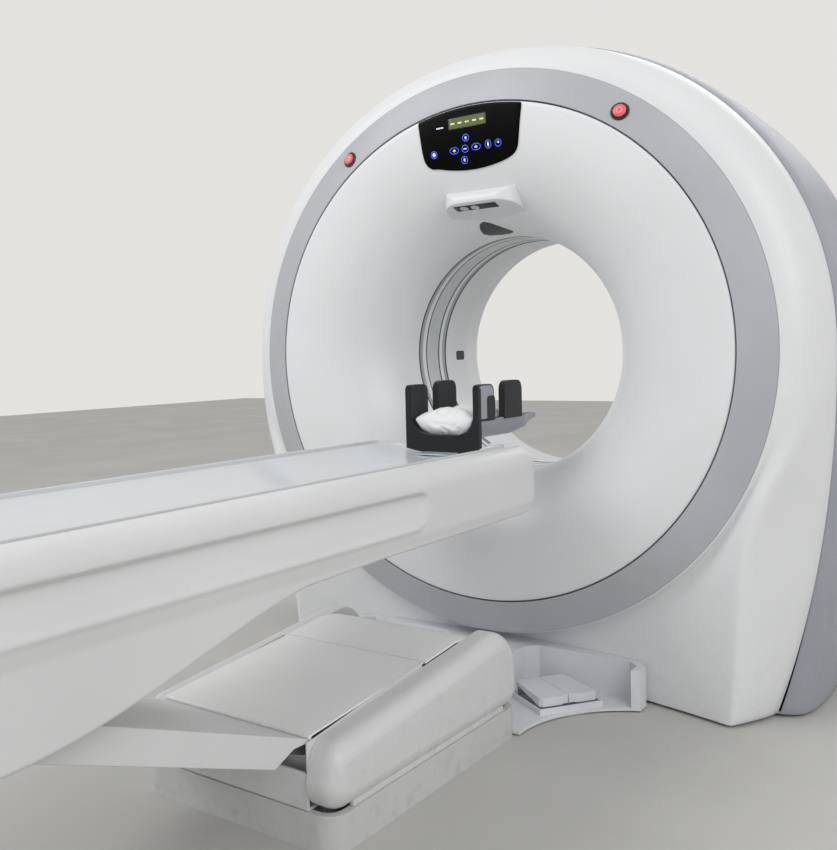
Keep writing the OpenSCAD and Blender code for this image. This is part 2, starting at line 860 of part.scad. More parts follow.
// Heights on the flare keep their share of its width, which is 348 mm as photographed.
flare_share = (disc_r - bore_r) / 348;
function above_bore(rise) = bore_r + rise * flare_share;
panel_low = above_bore(panel_rise);
panel_side = panel_w / 2;
panel_foot = panel_side - 18;
panel_corner = 24;
module panel_outline() {
    intersection() {
        circle(r = disc_r - 2, $fn = big_fn);
        hull() {
            translate([-panel_side, disc_r - 40])
                square([2 * panel_side, 80]);
            for (side = [-1, 1])
                translate([side * (panel_foot - panel_corner), panel_low + 20 + panel_corner])
                    circle(r = panel_corner, $fn = 48);
            translate([0, panel_low + 330])
                intersection() {
                    circle(r = 330, $fn = big_fn);
                    translate([-panel_foot + 20, -340])
                        square([2 * panel_foot - 40, 300]);
                }
        }
    }
}
module on_disc(low, high) {
    intersection() {
        flare_skin(low, high);
        translate([0, front_y + 150, iso_z])
            rotate([90, 0, 0])
                linear_extrude(200)
                    children();
    }
}
module control_panel() {
    color("#0A0B0E")
        on_disc(fit, 3)
            panel_outline();
}
display_z = above_bore(304);
module panel_display() {
    color("#6E7358")
        on_disc(3.1, 3.8)
            translate([-42, display_z - 13])
                square([84, 26]);
}
key_r = 9;
keys = [
    // [distance right of the middle, height above the bore's edge]
    [-2, 259], [-2, 227], [-2, 195], [-36, 227], [32, 227], [63, 227], [92, 227], [-92, 227]
];
module panel_keys() {
    color("#5A6CFF")
        on_disc(3.1, 3.7)
            for (k = keys)
                translate([k[0], above_bore(k[1])])
                    difference() {
                        circle(r = key_r, $fn = 32);
                        circle(r = key_r - 2, $fn = 32);
                    }
}

// Sensor housing: a moulded brow over the bore, with a dark window in its underside.
sensor_half_w = 118;
sensor_side = [
    [front_y + 150, above_bore(30)],
    [front_y + 60, above_bore(62)],
    [front_y + 19, above_bore(76)],
    [front_y + 15, above_bore(80)],
    [front_y + 15, above_bore(87)],
    [front_y + 19, above_bore(103)],
    [front_y + 30, above_bore(117)],
    [front_y + 46, above_bore(124)],
    [front_y + 150, above_bore(132)]
];
module sensor_plan() {
    hull()
        for (side = [-1, 1]) {
            translate([side * (sensor_half_w - 44), front_y + 60])
                circle(r = 44, $fn = 48);
            translate([side * (sensor_half_w - 4), front_y + 130])
                circle(r = 10, $fn = 24);
        }
}
module sensor_housing() {
    color("#E4E7EA")
        difference() {
            intersection() {
                translate([0, 0, iso_z])
                    across(sensor_side, -sensor_half_w - 6, sensor_half_w + 6);
                translate([0, 0, iso_z + bore_r - 50])
                    linear_extrude(400)
                        sensor_plan();
            }
            flare_solid(fit);
            sensor_window_slab(fit);
        }
}
// Everything behind the disc's visible face.
module flare_solid(gap) {
    revolve_y(concat(
        [[flare_r, front_y + 260], [disc_r, front_y + 260]],
        flare_curve(gap, disc_r)
    ));
}
sensor_slope = atan2(14 * flare_share, 41);
sensor_window_x = -10;
module sensor_window_slab(grow) {
    translate([sensor_window_x, front_y + 38, iso_z + above_bore(69.5)])
        rotate([-sensor_slope, 0, 0])
            translate([-67 - grow, -18 - grow, -3])
                cube([134 + 2 * grow, 36 + 2 * grow, 9]);
}
module sensor_window() {
    color("#17191C")
        intersection() {
            sensor_window_slab(0);
            translate([0, 0, iso_z])
                across([for (p = sensor_side) [p[0] + 0.6, p[1] + 0.6]], -sensor_half_w, sensor_half_w);
        }
}
// Teardrop window for the centre alignment laser, on the flare under the sensor housing.
module laser_window() {
    color("#4A4F52")
        on_disc(fit, 1.5)
            hull() {
                translate([-30, above_bore(21)])
                    circle(r = 11, $fn = 32);
                translate([-47, above_bore(13)])
                    circle(r = 6, $fn = 24);
                translate([-20, above_bore(10)])
                    circle(r = 6, $fn = 24);
                translate([34, above_bore(6)])
                    circle(r = 2, $fn = 24);
            }
}

// Stop buttons: a bezel let into the trim ring and a sprung dome that slides in it.
module stop_bezels() {
    color("#3B3E43")
        for (side = [-1, 1])
            stop_frame(side)
                difference() {
                    union() {
                        translate([0, 0, 0.1])
                            cylinder(r = bezel_r, h = 3);
                        translate([0, 0, -2 * stop_travel - 2])
                            cylinder(r = bezel_r - 3.05, h = 2 * stop_travel + 3);
                    }
                    translate([0, 0, -20])
                        cylinder(r = guide_r, h = 40);
                }
}
module stop_button(side) {
    color("#F0616A")
        stop_frame(side) {
            translate([0, 0, -stop_travel])
                cylinder(r = stop_dome_r, h = stop_travel + 7);
            translate([0, 0, 7])
                cylinder(r1 = stop_dome_r, r2 = stop_dome_r - 5, h = 4);
        }
}
module stop_button_left() {
    stop_button(-1);
}
module stop_button_right() {
    stop_button(1);
}

// Foot tray: one low moulding between the table base and the gantry. It has a foot well on
// each side, and two pedals in the right-hand one.
tray_floor = 26;
tray_lip = 12;
tray_wall = 108;
tray_skin = 4;
tray_x = 458;
tray_rim = 20;
well_x = 120;
well_back = -284;
well_centre = [606, -644];
well_r = 331;
function tray_back(x) =
    mix(foot_mid_y, foot_y, pow(x / foot_x, 2)) - 0.4 - 6.6 * cos(90 * max(0, x - 160) / 420);
// Plan of the tray on one side of the middle, drawn in from its edge by an inset. It follows
// the plinth's corner and the foot of the gantry.
module tray_plan(inset) {
    difference() {
        polygon(concat(
            [[0, base_head_y + fit + inset]],
            arc(
                base_half_w - base_corner, base_head_y - base_corner,
                base_corner + fit + inset, 90, 30, 6
            ),
            [[base_half_w + 20, base_head_y - 26], [tray_x - inset, base_head_y + 70]],
            [[tray_x - inset, tray_back(tray_x) - 30], [tray_x - 30, tray_back(tray_x - 30) - inset]],
            [for (i = [7:-1:0]) let (x = (tray_x - 30) * i / 8) [x, tray_back(x) - inset]]
        ));
        translate(well_centre)
            circle(r = well_r + inset, $fn = big_fn);
    }
}
// The open floor of the well, inside the back and side walls.
module tray_well(grow) {
    polygon([
        [well_x - grow, base_head_y - 60], [well_x - grow, well_back - 30],
        [well_x + 30 - grow, well_back + grow], [tray_x - tray_rim - 30, well_back + grow],
        [tray_x - tray_rim + grow, well_back - 30], [tray_x - tray_rim + grow, base_head_y - 60]
    ]);
}
module tray_hollow() {
    translate([0, 0, -1])
        linear_extrude(tray_lip + 1 - tray_skin)
            tray_plan(tray_skin);
    translate([0, 0, -1])
        linear_extrude(tray_wall + 1 - tray_skin)
            difference() {
                tray_plan(tray_skin);
                tray_well(tray_skin);
            }
}
// Pedals: two plates side by side, each on a pin along its rear edge.
pedal_angle = 56;
pedal_x = 252;
pedal_y = -415;
pedal_w = 84;
pedal_l = 150;
pedal_t = 9;
pedal_z = 42;
pedal_gap = 2;
pedal_splay = 12;
pedal_pin_r = 4;
pedal_pin_y = pedal_l / 2 - 10;
pedal_pin_z = -7;
pan_floor = pedal_z - pedal_l * sin(pedal_travel) - 20;
module pedal_place() {
    translate([pedal_x, pedal_y, pedal_z])
        rotate([0, 0, pedal_angle])
            children();
}
module pedal_box(grow, low) {
    pedal_place()
        translate([-pedal_w - 4 - grow, -pedal_l / 2 - 6 - grow, low - pedal_z])
            cube([2 * (pedal_w + 4 + grow), pedal_l + 10 + 2 * grow, tray_floor - low + 0.5]);
}
module pedal_tray() {
    color("#A4A8AE")
        difference() {
            union() {
                difference() {
                    both_sides()
                        translate([0, 0, 4])
                            linear_extrude(tray_wall - 4)
                                tray_plan(0);
                    both_sides()
                        translate([0, 0, tray_lip])
                            linear_extrude(tray_wall)
                                tray_well(0);
                    both_sides()
                        tray_hollow();
                }
                pedal_box(4, 0);
            }
            difference() {
                pedal_box(0, pan_floor);
                pedal_lugs(0);
            }
        }
    color("#A4A8AE")
        pedal_lugs(pedal_pin_r + 0.05);
}
// The pin's two bearings, at the ends of the pan.
module pedal_lugs(bore) {
    pedal_place()
        difference() {
            for (side = [-1, 1])
                block(
                    side * (pedal_w - 1) - 9, side * (pedal_w - 1) + 9,
                    pedal_pin_y - 7, pedal_pin_y + 7, pan_floor - pedal_z, pedal_pin_z + 6.5
                );
            if (bore > 0)
                bar_x(-pedal_w - 20, pedal_w + 20, pedal_pin_y, pedal_pin_z, bore);
        }
}
module pedal_pins() {
    color("#C6C9CC")
        pedal_place()
            bar_x(-pedal_w - 5, pedal_w + 5, pedal_pin_y, pedal_pin_z, pedal_pin_r);
}
// One pedal, on the right or the left of the pair: its outer edge splays towards the front.
module pedal(side) {
    pedal_place()
        difference() {
            union() {
                translate([0, 0, -pedal_t + 8])
                    linear_extrude(pedal_t)
                        polygon([
                            [side * pedal_gap / 2, -pedal_l / 2 + 5],
                            [side * 14, -pedal_l / 2 + 5],
                            [side * 22, -pedal_l / 2],
                            [side * (pedal_w - 8), -pedal_l / 2],
                            [side * pedal_w, -pedal_l / 2 + 8],
                            [side * (pedal_w - pedal_splay), pedal_l / 2 - 8],
                            [side * (pedal_w - pedal_splay - 8), pedal_l / 2],
                            [side * pedal_gap / 2, pedal_l / 2]
                        ]);
                bar_x(
                    min(side * pedal_gap / 2, side * (pedal_w - pedal_splay)),
                    max(side * pedal_gap / 2, side * (pedal_w - pedal_splay)),
                    pedal_pin_y, pedal_pin_z, 8
                );
            }
            bar_x(-pedal_w - 10, pedal_w + 10, pedal_pin_y, pedal_pin_z, pedal_pin_r + 0.06);
        }
}
module pedal_up() {
    color("#B4B7BC")
        pedal(1);
}
module pedal_down() {
    color("#B4B7BC")
        pedal(-1);
}

// Table base.
base_corner = 50;
module base_outline(inset) {
    hull()
        for (sx = [-1, 1])
            for (y = [base_foot_y + base_corner, base_head_y - base_corner])
                translate([sx * (base_half_w - base_corner), y])
                    circle(r = base_corner - inset, $fn = 64);
}
table_anchor_x = 300;
table_anchor_y = 560;
module table_plinth() {
    mid = (base_foot_y + base_head_y) / 2;
    color("#B5B6B3")
        difference() {
            union() {
                difference() {
                    linear_extrude(plinth_h)
                        base_outline(0);
                    translate([0, 0, 14])
                        linear_extrude(plinth_h)
                            base_outline(18);
                }
                for (side = [-1, 1])
                    block(
                        side * 183 - 11, side * 183 + 11,
                        pivot_y - 34, pivot_y + 34, 10, pivot_z + 26
                    );
                block(link_x + 13, link_x + 25, pivot_y - 16, pivot_y + 16, 10, pivot_z - link_drop + 14);
            }
            bar_x(-220, 220, pivot_y, pivot_z, pin_r + 0.05);
            bar_x(link_x, link_x + 40, pivot_y, pivot_z - link_drop, link_pin_r + 0.05);
            for (sx = [-1, 1], sy = [-1, 1])
                translate([sx * table_anchor_x / 2, mid + sy * table_anchor_y / 2, -1])
                    cylinder(r = 8, h = 30);
        }
}
// Panel between the pods at the foot end, on the plinth's rim.
module base_band() {
    y = base_foot_y + 1;
    seat = plinth_h + fit;
    color("#BDBDB9")
        across([
            [y, plinth_h + 3], [y, band_top - 5], [y + 1.5, band_top - 1.5], [y + 5, band_top],
            [y + 8, band_top], [y + 8, seat + 6], [y + 32, seat + 6], [y + 32, seat], [y + 3, seat],
            [y + 3, plinth_h + 3]
        ], -pod_inner + 0.4, pod_inner - 0.4);
}
// Side pods: rounded housings over the arm's lower bearings, taller at the gantry end.
pod_round = 38;
pod_low = plinth_h + 3;
pod_circles = [
    // [y, z, radius]
    [base_foot_y + 46, pod_low + 50, 50],
    [base_foot_y + 58, pod_low + 76, 56],
    [base_head_y - 96, pod_low + 94, 94],
    [base_head_y - 50, pod_low + 50, 50]
];
module pod_disc(c) {
    translate([pod_inner, c[0], c[1]])
        rotate([0, 90, 0])
            rotate_extrude($fn = 32)
                polygon(concat(
                    [[0, 0], [c[2], 0]],
                    arc(c[2] - pod_round, pod_outer - pod_inner - pod_round, pod_round, 0, 90, 5),
                    [[0, pod_outer - pod_inner]]
                ));
}
module side_pod() {
    difference() {
        union() {
            hull()
                for (c = pod_circles)
                    pod_disc(c);
            block(
                base_half_w - 16, base_half_w - 6,
                base_foot_y + 70, base_head_y - 70, plinth_h + fit, pod_low + 12
            );
        }
        translate([pod_inner - 1, 0, 0])
            bar_x(0, 24, pivot_y, pivot_z, pin_r + 8);
    }
}
module side_pods() {
    color("#DCDCDA")
        both_sides()
            side_pod();
}
// Top of the base between the pods: a fixed cover at the gantry end, then a hinged flap.
flap_hinge_y = base_head_y - 327;
flap_hinge_z = 249;
flap_end_y = base_foot_y + 18;
flap_end_z = 216;
cover_crest_y = base_head_y - 187;
cover_crest_z = 262;
top_side = pod_inner - 0.4;
module base_top_cover() {
    t = 5;
    r = 140;
    outer = concat(
        [[flap_hinge_y + 4, flap_hinge_z], [cover_crest_y, cover_crest_z]],
        [for (p = arc(base_head_y - 12 - r, cover_crest_z - 4 - r, r, 84, 0, 12)) p],
        [[base_head_y - 12, plinth_h + fit]]
    );
    inner = concat(
        [[base_head_y - 12 - t, plinth_h + fit]],
        [for (p = arc(base_head_y - 12 - r, cover_crest_z - 4 - r, r - t, 0, 84, 12)) p],
        [[cover_crest_y, cover_crest_z - t], [flap_hinge_y + 4, flap_hinge_z - t]]
    );
    color("#D2D3D0") {
        across(concat(outer, inner), -top_side, top_side);
        for (side = [-1, 1])
            difference() {
                block(
                    side * 150 - 14, side * 150 + 14,
                    flap_hinge_y - 9, flap_hinge_y + 40, flap_hinge_z - 26, flap_hinge_z - t
                );
                block(
                    side * 150 - 20, side * 150 + 20,
                    flap_hinge_y - 12, flap_hinge_y + 10, flap_hinge_z - 10, flap_hinge_z
                );
                bar_x(side * 150 - 20, side * 150 + 20, flap_hinge_y, flap_hinge_z - 17, 5.05);
            }
    }
}
flap_pin_z = flap_hinge_z - 17;
module lift_flap() {
    t = 4;
    color("#C9CAC8")
        difference() {
            union() {
                across([
                    [flap_hinge_y, flap_hinge_z], [flap_end_y + 4, flap_end_z],
                    [flap_end_y, flap_end_z - 2], [flap_end_y + 1, flap_end_z - t],
                    [flap_hinge_y, flap_hinge_z - t]
                ], -top_side + 2, top_side - 2);
                for (side = [-1, 1], edge = [-1, 1])
                    block(
                        side * 150 + edge * 22 - 6, side * 150 + edge * 22 + 6,
                        flap_hinge_y - 9, flap_hinge_y, flap_pin_z - 9, flap_hinge_z - t + 1
                    );
                for (side = [-1, 1], edge = [-1, 1])
                    bar_x(
                        side * 150 + edge * 22 - 6, side * 150 + edge * 22 + 6,
                        flap_hinge_y, flap_pin_z, 9
                    );
            }
            for (side = [-1, 1])
                bar_x(side * 150 - 40, side * 150 + 40, flap_hinge_y, flap_pin_z, 5.06);
        }
}

// Lift arm: two box beams joined by cross tubes, with a lever that hangs under the first one.
upper_y = pivot_y - arm_len * cos(arm_angle);
upper_z = pivot_z + arm_len * sin(arm_angle);
arm_x = 150;
arm_w = 30;
lever_z = 50;
lever_pin_r = 10;
lever_tube = [-62, 2];
function arm_point(p) = [
    pivot_y + p[0] * cos(arm_angle) + p[1] * sin(arm_angle),
    pivot_z - p[0] * sin(arm_angle) + p[1] * cos(arm_angle)
];
module along_arm() {
    translate([0, pivot_y, pivot_z])
        rotate([-arm_angle, 0, 0])
            children();
}
module lift_arm() {
    tube = arm_point(lever_tube);
    color("#7A8088")
        difference() {
            union() {
                along_arm() {
                    for (side = [-1, 1]) {
                        block(
                            side * arm_x - arm_w / 2, side * arm_x + arm_w / 2,
                            -arm_len, 0, -14, 16
                        );
                        bar_x(side * arm_x - arm_w / 2, side * arm_x + arm_w / 2, 0, 0, 28);
                        bar_x(side * arm_x - arm_w / 2, side * arm_x + arm_w / 2, -arm_len, 0, 26);
                    }
                    for (y = [-300, -arm_len + 190])
                        bar_x(-arm_x, arm_x, y, 4, 12);
                    bar_x(-arm_x, arm_x, lever_tube[0], lever_tube[1], 13);
                }
                for (side = [-1, 1]) {
                    across([
                        [tube[0] - 14, tube[1]], [tube[0] + 14, tube[1] + 2],
                        [pivot_y + 15, lever_z + 6], [pivot_y + 15, lever_z - 6],
                        [pivot_y - 15, lever_z - 6]
                    ], side * 21 - 7, side * 21 + 7);
                    bar_x(side * 21 - 7, side * 21 + 7, pivot_y, lever_z, 18);
                }
                bar_x(-28, 28, pivot_y, lever_z, lever_pin_r);
            }
            arm_bores();
        }
}
module arm_bores() {
    bar_x(-400, 400, pivot_y, pivot_z, pin_r + 0.06);
    bar_x(-400, 400, upper_y, upper_z, pin_r + 0.06);
}
// Moulded cover of the arm: an upturned channel, open below and at both ends.
cover_slope = 20.3;
cover_top_y = flap_end_y + 18;
cover_top_z = flap_end_z - 16;
cover_side = pod_inner - 6;
cover_h = 58;
cover_far = 800;
// A point of the cover's side view, along its top and down from it.
function cover_point(p) = [
    cover_top_y - p[0] * cos(cover_slope) - p[1] * sin(cover_slope),
    cover_top_z + p[0] * sin(cover_slope) - p[1] * cos(cover_slope)
];
module lift_arm_cover() {
    wall = 4;
    end = cover_far;
    color("#CFD0CC")
        difference() {
            across(
                [for (p = [[0, 0], [end, 0], [end, cover_h], [105, cover_h], [60, 20]]) cover_point(p)],
                -cover_side, cover_side
            );
            across(
                [for (p = [[-9, wall], [end + 9, wall], [end + 9, 90], [-9, 90]]) cover_point(p)],
                -cover_side + wall, cover_side - wall
            );
        }
}
module pivot_pins() {
    color("#C6C9CC") {
        for (side = [-1, 1])
            bar_x(side * 165 - 37, side * 165 + 37, pivot_y, pivot_z, pin_r);
        for (side = [-1, 1])
            bar_x(side * 150 - 34, side * 150 + 34, flap_hinge_y, flap_pin_z, 5);
        bar_x(link_x - 9, link_x + 25, pivot_y, pivot_z - link_drop, link_pin_r);
    }
}

// Levelling link: it runs parallel to the arm and keeps the table top level.
link_pin_r = 6;
link_x = 75;
module level_link() {
    color("#90969D")
        difference() {
            translate([0, pivot_y, pivot_z - link_drop])
                rotate([-arm_angle, 0, 0]) {
                    block(link_x - 4, link_x + 4, -arm_len, 0, -6, 6);
                    bar_x(link_x - 8, link_x + 8, 0, 0, 12);
                    bar_x(link_x - 8, link_x + 8, -arm_len, 0, 12);
                }
            bar_x(link_x - 20, link_x + 20, pivot_y, pivot_z - link_drop, link_pin_r + 0.06);
            bar_x(link_x - 20, link_x + 20, upper_y, upper_z - link_drop, link_pin_r + 0.06);
        }
}
// Lift actuator: a spindle drive that lies in the plinth and pushes the arm's lever.
act_y2 = base_head_y - 70;
act_y1 = act_y2 - 250;
module lift_actuator() {
    color("#3F444B")
        difference() {
            union() {
                bar_y(0, act_y1, act_y2, lever_z, 30);
                block(-34, 34, act_y2 - 70, act_y2, 14, lever_z + 34);
            }
            bar_y(0, act_y1 - 1, act_y2 - 20, lever_z, 16.06);
        }
}
module actuator_rod() {
    color("#CDD0D4") {
        bar_y(0, pivot_y + 26, act_y2 - 50, lever_z, 16);
        difference() {
            union() {
                bar_x(-12, 12, pivot_y, lever_z, 22);
                block(-12, 12, pivot_y, pivot_y + 30, lever_z - 14, lever_z + 14);
            }
            bar_x(-20, 20, pivot_y, lever_z, lever_pin_r + 4);
        }
    }
}

// Table top.
foot_end_y = nose_y - top_len;
rail_x = 128;
rail_low = 566;
rail_high = 606;
module table_frame() {
    color("#A7ACB3") {
        for (side = [-1, 1])
            block(
                side * rail_x - 16, side * rail_x + 16,
                foot_end_y + 40, nose_y - 120, rail_low, rail_high
            );
        for (y = [foot_end_y + 60, upper_y - 140, upper_y, upper_y + 160, -1350, roller_ys[1], roller_ys[0]])
            let (half = shell_w - cover_t - fit - (y > groove_end ? 0 : groove_depth))
            block(-half, half, y - 20, y + 20, rail_low, rail_low + 24);
        for (side = [-1, 1])
            block(
                side * (arm_x - 26) - 8, side * (arm_x - 26) + 8,
                upper_y - 34, upper_y + 34, upper_z - 26, rail_low + 10
            );
        block(
            link_x + 11, link_x + 23,
            upper_y - 20, upper_y + 20, upper_z - link_drop - 16, rail_low + 10
        );
    }
    color("#C6C9CC") {
        for (side = [-1, 1])
            bar_x(side * 143 - 27, side * 143 + 27, upper_y, upper_z, pin_r);
        bar_x(link_x - 10, link_x + 23, upper_y, upper_z - link_drop, link_pin_r);
    }
}
// The shell's outer section at one side, from the cradle slot over the shoulder to the skirt.
slot_half = cradle_half_w + 5;
function shell_half(t) = [
    [slot_half, cradle_z - t],
    [shell_w - 28, cradle_z - 6 - t],
    [shell_w - 11 - t * 0.6, cradle_z - 15 - t * 0.6],
    [shell_w - 2 - t, cradle_z - 30],
    [shell_w - t, cradle_z - 48],
    [shell_w - t, cradle_z - 130],
    [shell_w - 4 - t, shell_low],
    [shell_w - 5 - t, skirt_low - 20]
];
module shell_section(t, y1, y2) {
    along(mirrored(shell_half(t)), y1, y2);
}
// Side view of the shell: level from the nose, then an easy curve down to the deep skirt.
skirt_start = -1448;
skirt_end = -2090;
function skirt_z(y) = mix(shell_low - 9, skirt_low, smooth((skirt_start - y) / (skirt_start - skirt_end)) * 0.55
    + 0.45 * clamp01(sin(90 * clamp01((skirt_start - y) / (skirt_start - skirt_end)))));
function side_view(inset) = concat(
    [[nose_y - inset, cradle_z + 2], [nose_y - inset, shell_low + 22], [nose_y - 40, shell_low + 6]],
    [[nose_y - 140, shell_low], [skirt_start + 240, shell_low - 3]],
    [for (i = [0:14]) let (y = mix(skirt_start, skirt_end, i / 14)) [y, skirt_z(y)]],
    [[foot_end_y + 60 + inset, skirt_low], [foot_end_y + inset, skirt_low + 50], [foot_end_y + inset, cradle_z + 2]]
);
module shell_plan(inset) {
    hull()
        for (side = [-1, 1]) {
            translate([side * (shell_w - 130), nose_y - 130])
                circle(r = 130 - inset, $fn = 96);
            translate([side * (shell_w - 50), foot_end_y + 50])
                circle(r = 50 - inset, $fn = 48);
        }
}
groove_end = -1035;
groove_depth = 11;
groove_high = cradle_z - 49;
groove_ridge = cradle_z - 121;
// The recess along each side: a rounded slot whose lower face leans out to a ridge.
module shell_groove(grow) {
    for (side = [-1, 1])
        intersection() {
            along([
                [side * (shell_w + 1), groove_high + 2 + grow],
                [side * (shell_w - groove_depth - grow), groove_high - 5 + grow],
                [side * (shell_w - groove_depth - grow), groove_high - 24 - grow],
                [side * (shell_w - groove_depth + 4 - grow), groove_ridge + 22 - grow],
                [side * (shell_w + 1), groove_ridge - grow]
            ], foot_end_y + 40, groove_end + grow);
            translate([-400, 0, 0])
                rotate([90, 0, 90])
                    linear_extrude(800)
                        union() {
                            translate([groove_end - 36, (groove_high + groove_ridge) / 2])
                                circle(r = 36 + 2 + grow, $fn = 96);
                            translate([foot_end_y, groove_ridge - 2 - grow])
                                square([groove_end - 36 - foot_end_y, groove_high - groove_ridge + 6 + 2 * grow]);
                        }
        }
}
cradle_low = cradle_z - cradle_dip - cradle_t;
function sag(x, low) = low + (cradle_z - 4 - low) * pow(x / cradle_half_w, 2);
module shell_solid(t) {
    intersection() {
        shell_section(t, foot_end_y, nose_y);
        translate([0, 0, skirt_low - 10 - t])
            linear_extrude(400)
                shell_plan(t);
    }
}
module table_shell() {
    color("#DADAD7")
        difference() {
            intersection() {
                shell_solid(0);
                across(side_view(0), -shell_w, shell_w);
            }
            difference() {
                shell_solid(cover_t);
                shell_groove(cover_t);
            }
            shell_groove(0);
            cradle_clearance();
        }
}
// The room that the cradle needs as it runs out over the nose.
module cradle_clearance() {
    steps = 12;
    along(concat(
        [for (i = [-steps:steps])
            let (x = slot_half * i / steps)
            [x, min(cradle_z + 4, sag(x, cradle_low) - 5)]],
        [[slot_half, cradle_z + 60], [-slot_half, cradle_z + 60]]
    ), foot_end_y + 30, nose_y + 10);
}
cradle_end = nose_y - 83;
cradle_start = foot_end_y + cradle_setback;
module cradle() {
    steps = 16;
    top = [for (i = [steps:-1:-steps])
        let (x = (cradle_half_w - 7) * i / steps)
        [x, mix(cradle_z - cradle_dip, cradle_z - 2, pow(i / steps, 2))]];
    bottom = [for (i = [-steps:steps]) let (x = cradle_half_w * i / steps) [x, sag(x, cradle_low)]];
    color("#D6D7D6")
        intersection() {
            along(concat(bottom, [[cradle_half_w, cradle_z]], top, [[-cradle_half_w, cradle_z]]), cradle_start, cradle_end);
            translate([0, 0, 500])
                linear_extrude(400)
                    hull()
                        for (sx = [-1, 1]) {
                            translate([sx * (cradle_half_w - 60), cradle_end - 60])
                                circle(r = 60, $fn = 64);
                            translate([sx * (cradle_half_w - 20), cradle_start + 20])
                                circle(r = 20, $fn = 32);
                        }
        }
}
// Rollers under the cradle near the nose, and the driven carriage at its foot end.
roller_r = 18;
roller_x = 80;
roller_ys = [nose_y - 150, nose_y - 310];
module cradle_rollers() {
    roll_z = sag(roller_x - 14, cradle_low) - roller_r - 1;
    for (side = [-1, 1], y = roller_ys) {
        color("#2C2E31")
            bar_x(side * roller_x - 14, side * roller_x + 14, y, roll_z, roller_r);
        color("#9DA2A8") {
            block(side * 98 - 3, side * 98 + 3, y - 12, y + 12, rail_low + 24, roll_z + 8);
            bar_x(side * 96 - 3, side * 96 + 3, y, roll_z, 6);
        }
    }
}
module cradle_carriage() {
    y1 = cradle_start + 60;
    y2 = cradle_start + 220;
    color("#585D64")
        difference() {
            union() {
                block(-rail_x + 14, rail_x - 14, y1, y2, rail_high + 1, rail_high + 10);
                block(-60, 60, y1 + 30, y2 - 30, rail_high + 10, cradle_low + 4);
            }
            cradle_clearance_tight();
        }
    color("#2C2E31")
        for (side = [-1, 1], y = [y1 + 20, y2 - 20])
            block(side * rail_x - 14, side * rail_x + 14, y - 14, y + 14, rail_high + fit, rail_high + 10);
}
module cradle_clearance_tight() {
    steps = 16;
    along(concat(
        [for (i = [-steps:steps]) let (x = cradle_half_w * i / steps) [x, sag(x, cradle_low) - fit]],
        [[cradle_half_w, cradle_z + 40], [-cradle_half_w, cradle_z + 40]]
    ), cradle_start, cradle_end);
}

// Head holder: a trough with four upright fingers that reaches over the cradle's end.
holder_near = cradle_end;
holder_half_w = 112;
holder_low = cradle_z + 4;
holder_wall = 4;
holder_rim = cradle_z + 62;
finger_top = cradle_z + 158;
finger_near = [holder_near, holder_near + 84];
finger_far = [holder_near + 146, holder_near + 244];
holder_tip = holder_near + 560;
foam_t = 12;
function trough(t) = mirrored([
    [holder_half_w - t, finger_top + 40],
    [holder_half_w - t, holder_low + 62],
    [holder_half_w - 6 - t, holder_low + 40 + t * 0.3],
    [holder_half_w - 24 - t * 0.7, holder_low + 16 + t * 0.7],
    [holder_half_w - 52 - t * 0.4, holder_low + 3 + t],
    [holder_half_w - 80, holder_low + t]
]);
module holder_plan(inset) {
    hull() {
        for (side = [-1, 1]) {
            translate([side * (holder_half_w - 10), holder_near + 10])
                circle(r = 10 - inset, $fn = 24);
            translate([side * (holder_half_w - 40), holder_near + 270])
                circle(r = 40 - inset, $fn = 48);
        }
        translate([0, holder_tip - 26])
            circle(r = 26 - inset, $fn = 48);
    }
}
module finger_shape(span, top, grow) {
    r = 22;
    hull() {
        for (y = [span[0] - grow + r, span[1] + grow - r])
            translate([y, top - r + grow])
                circle(r = r, $fn = 48);
        translate([span[0] - grow, holder_low - 10])
            square([span[1] - span[0] + 2 * grow, 30]);
    }
}
module holder_side(grow) {
    finger_shape(finger_near, finger_top - 6, grow);
    finger_shape(finger_far, finger_top, grow);
    polygon([
        [holder_near - grow, holder_low - 10], [holder_near - grow, holder_rim - 8],
        [finger_near[1], holder_rim + grow], [finger_far[1], holder_rim + grow],
        [holder_tip - 60, holder_low + 42], [holder_tip, holder_low + 36], [holder_tip, holder_low - 10]
    ]);
}
module head_holder() {
    color("#A0A5AE")
        difference() {
            intersection() {
                along(trough(0), holder_near, holder_tip);
                translate([0, 0, holder_low - 10])
                    linear_extrude(300)
                        holder_plan(0);
                translate([-200, 0, 0])
                    rotate([90, 0, 90])
                        linear_extrude(400)
                            holder_side(0);
            }
            intersection() {
                along(trough(holder_wall), holder_near - 10, holder_tip);
                translate([0, 0, holder_low - 10])
                    linear_extrude(400)
                        holder_plan_open();
            }
        }
    color("#A0A5AE")
        block(-60, 60, holder_near - 150, holder_near + 60, holder_low - 12, holder_low + 0.5);
    color("#A0A5AE")
        block(-60, 60, holder_near - 150, holder_near - 2, cradle_z - cradle_dip + 4, holder_low - 11);
}
module holder_plan_open() {
    hull() {
        for (side = [-1, 1]) {
            translate([side * (holder_half_w - 10), holder_near - 10])
                circle(r = 6, $fn = 24);
            translate([side * (holder_half_w - 40), holder_near + 270])
                circle(r = 36, $fn = 48);
        }
        translate([0, holder_tip - 26])
            circle(r = 22, $fn = 48);
    }
}
module holder_foam() {
    color("#1B1E20")
        difference() {
            intersection() {
                along(trough(holder_wall), holder_near, finger_far[1]);
                translate([-200, 0, 0])
                    rotate([90, 0, 90])
                        linear_extrude(400)
                            intersection() {
                                holder_side(2);
                                translate([holder_near, holder_low - 20])
                                    square([finger_far[1] - holder_near, 400]);
                            }
            }
            along(trough(holder_wall + foam_t), holder_near - 10, holder_tip);
        }
}
pillow_l = 210;
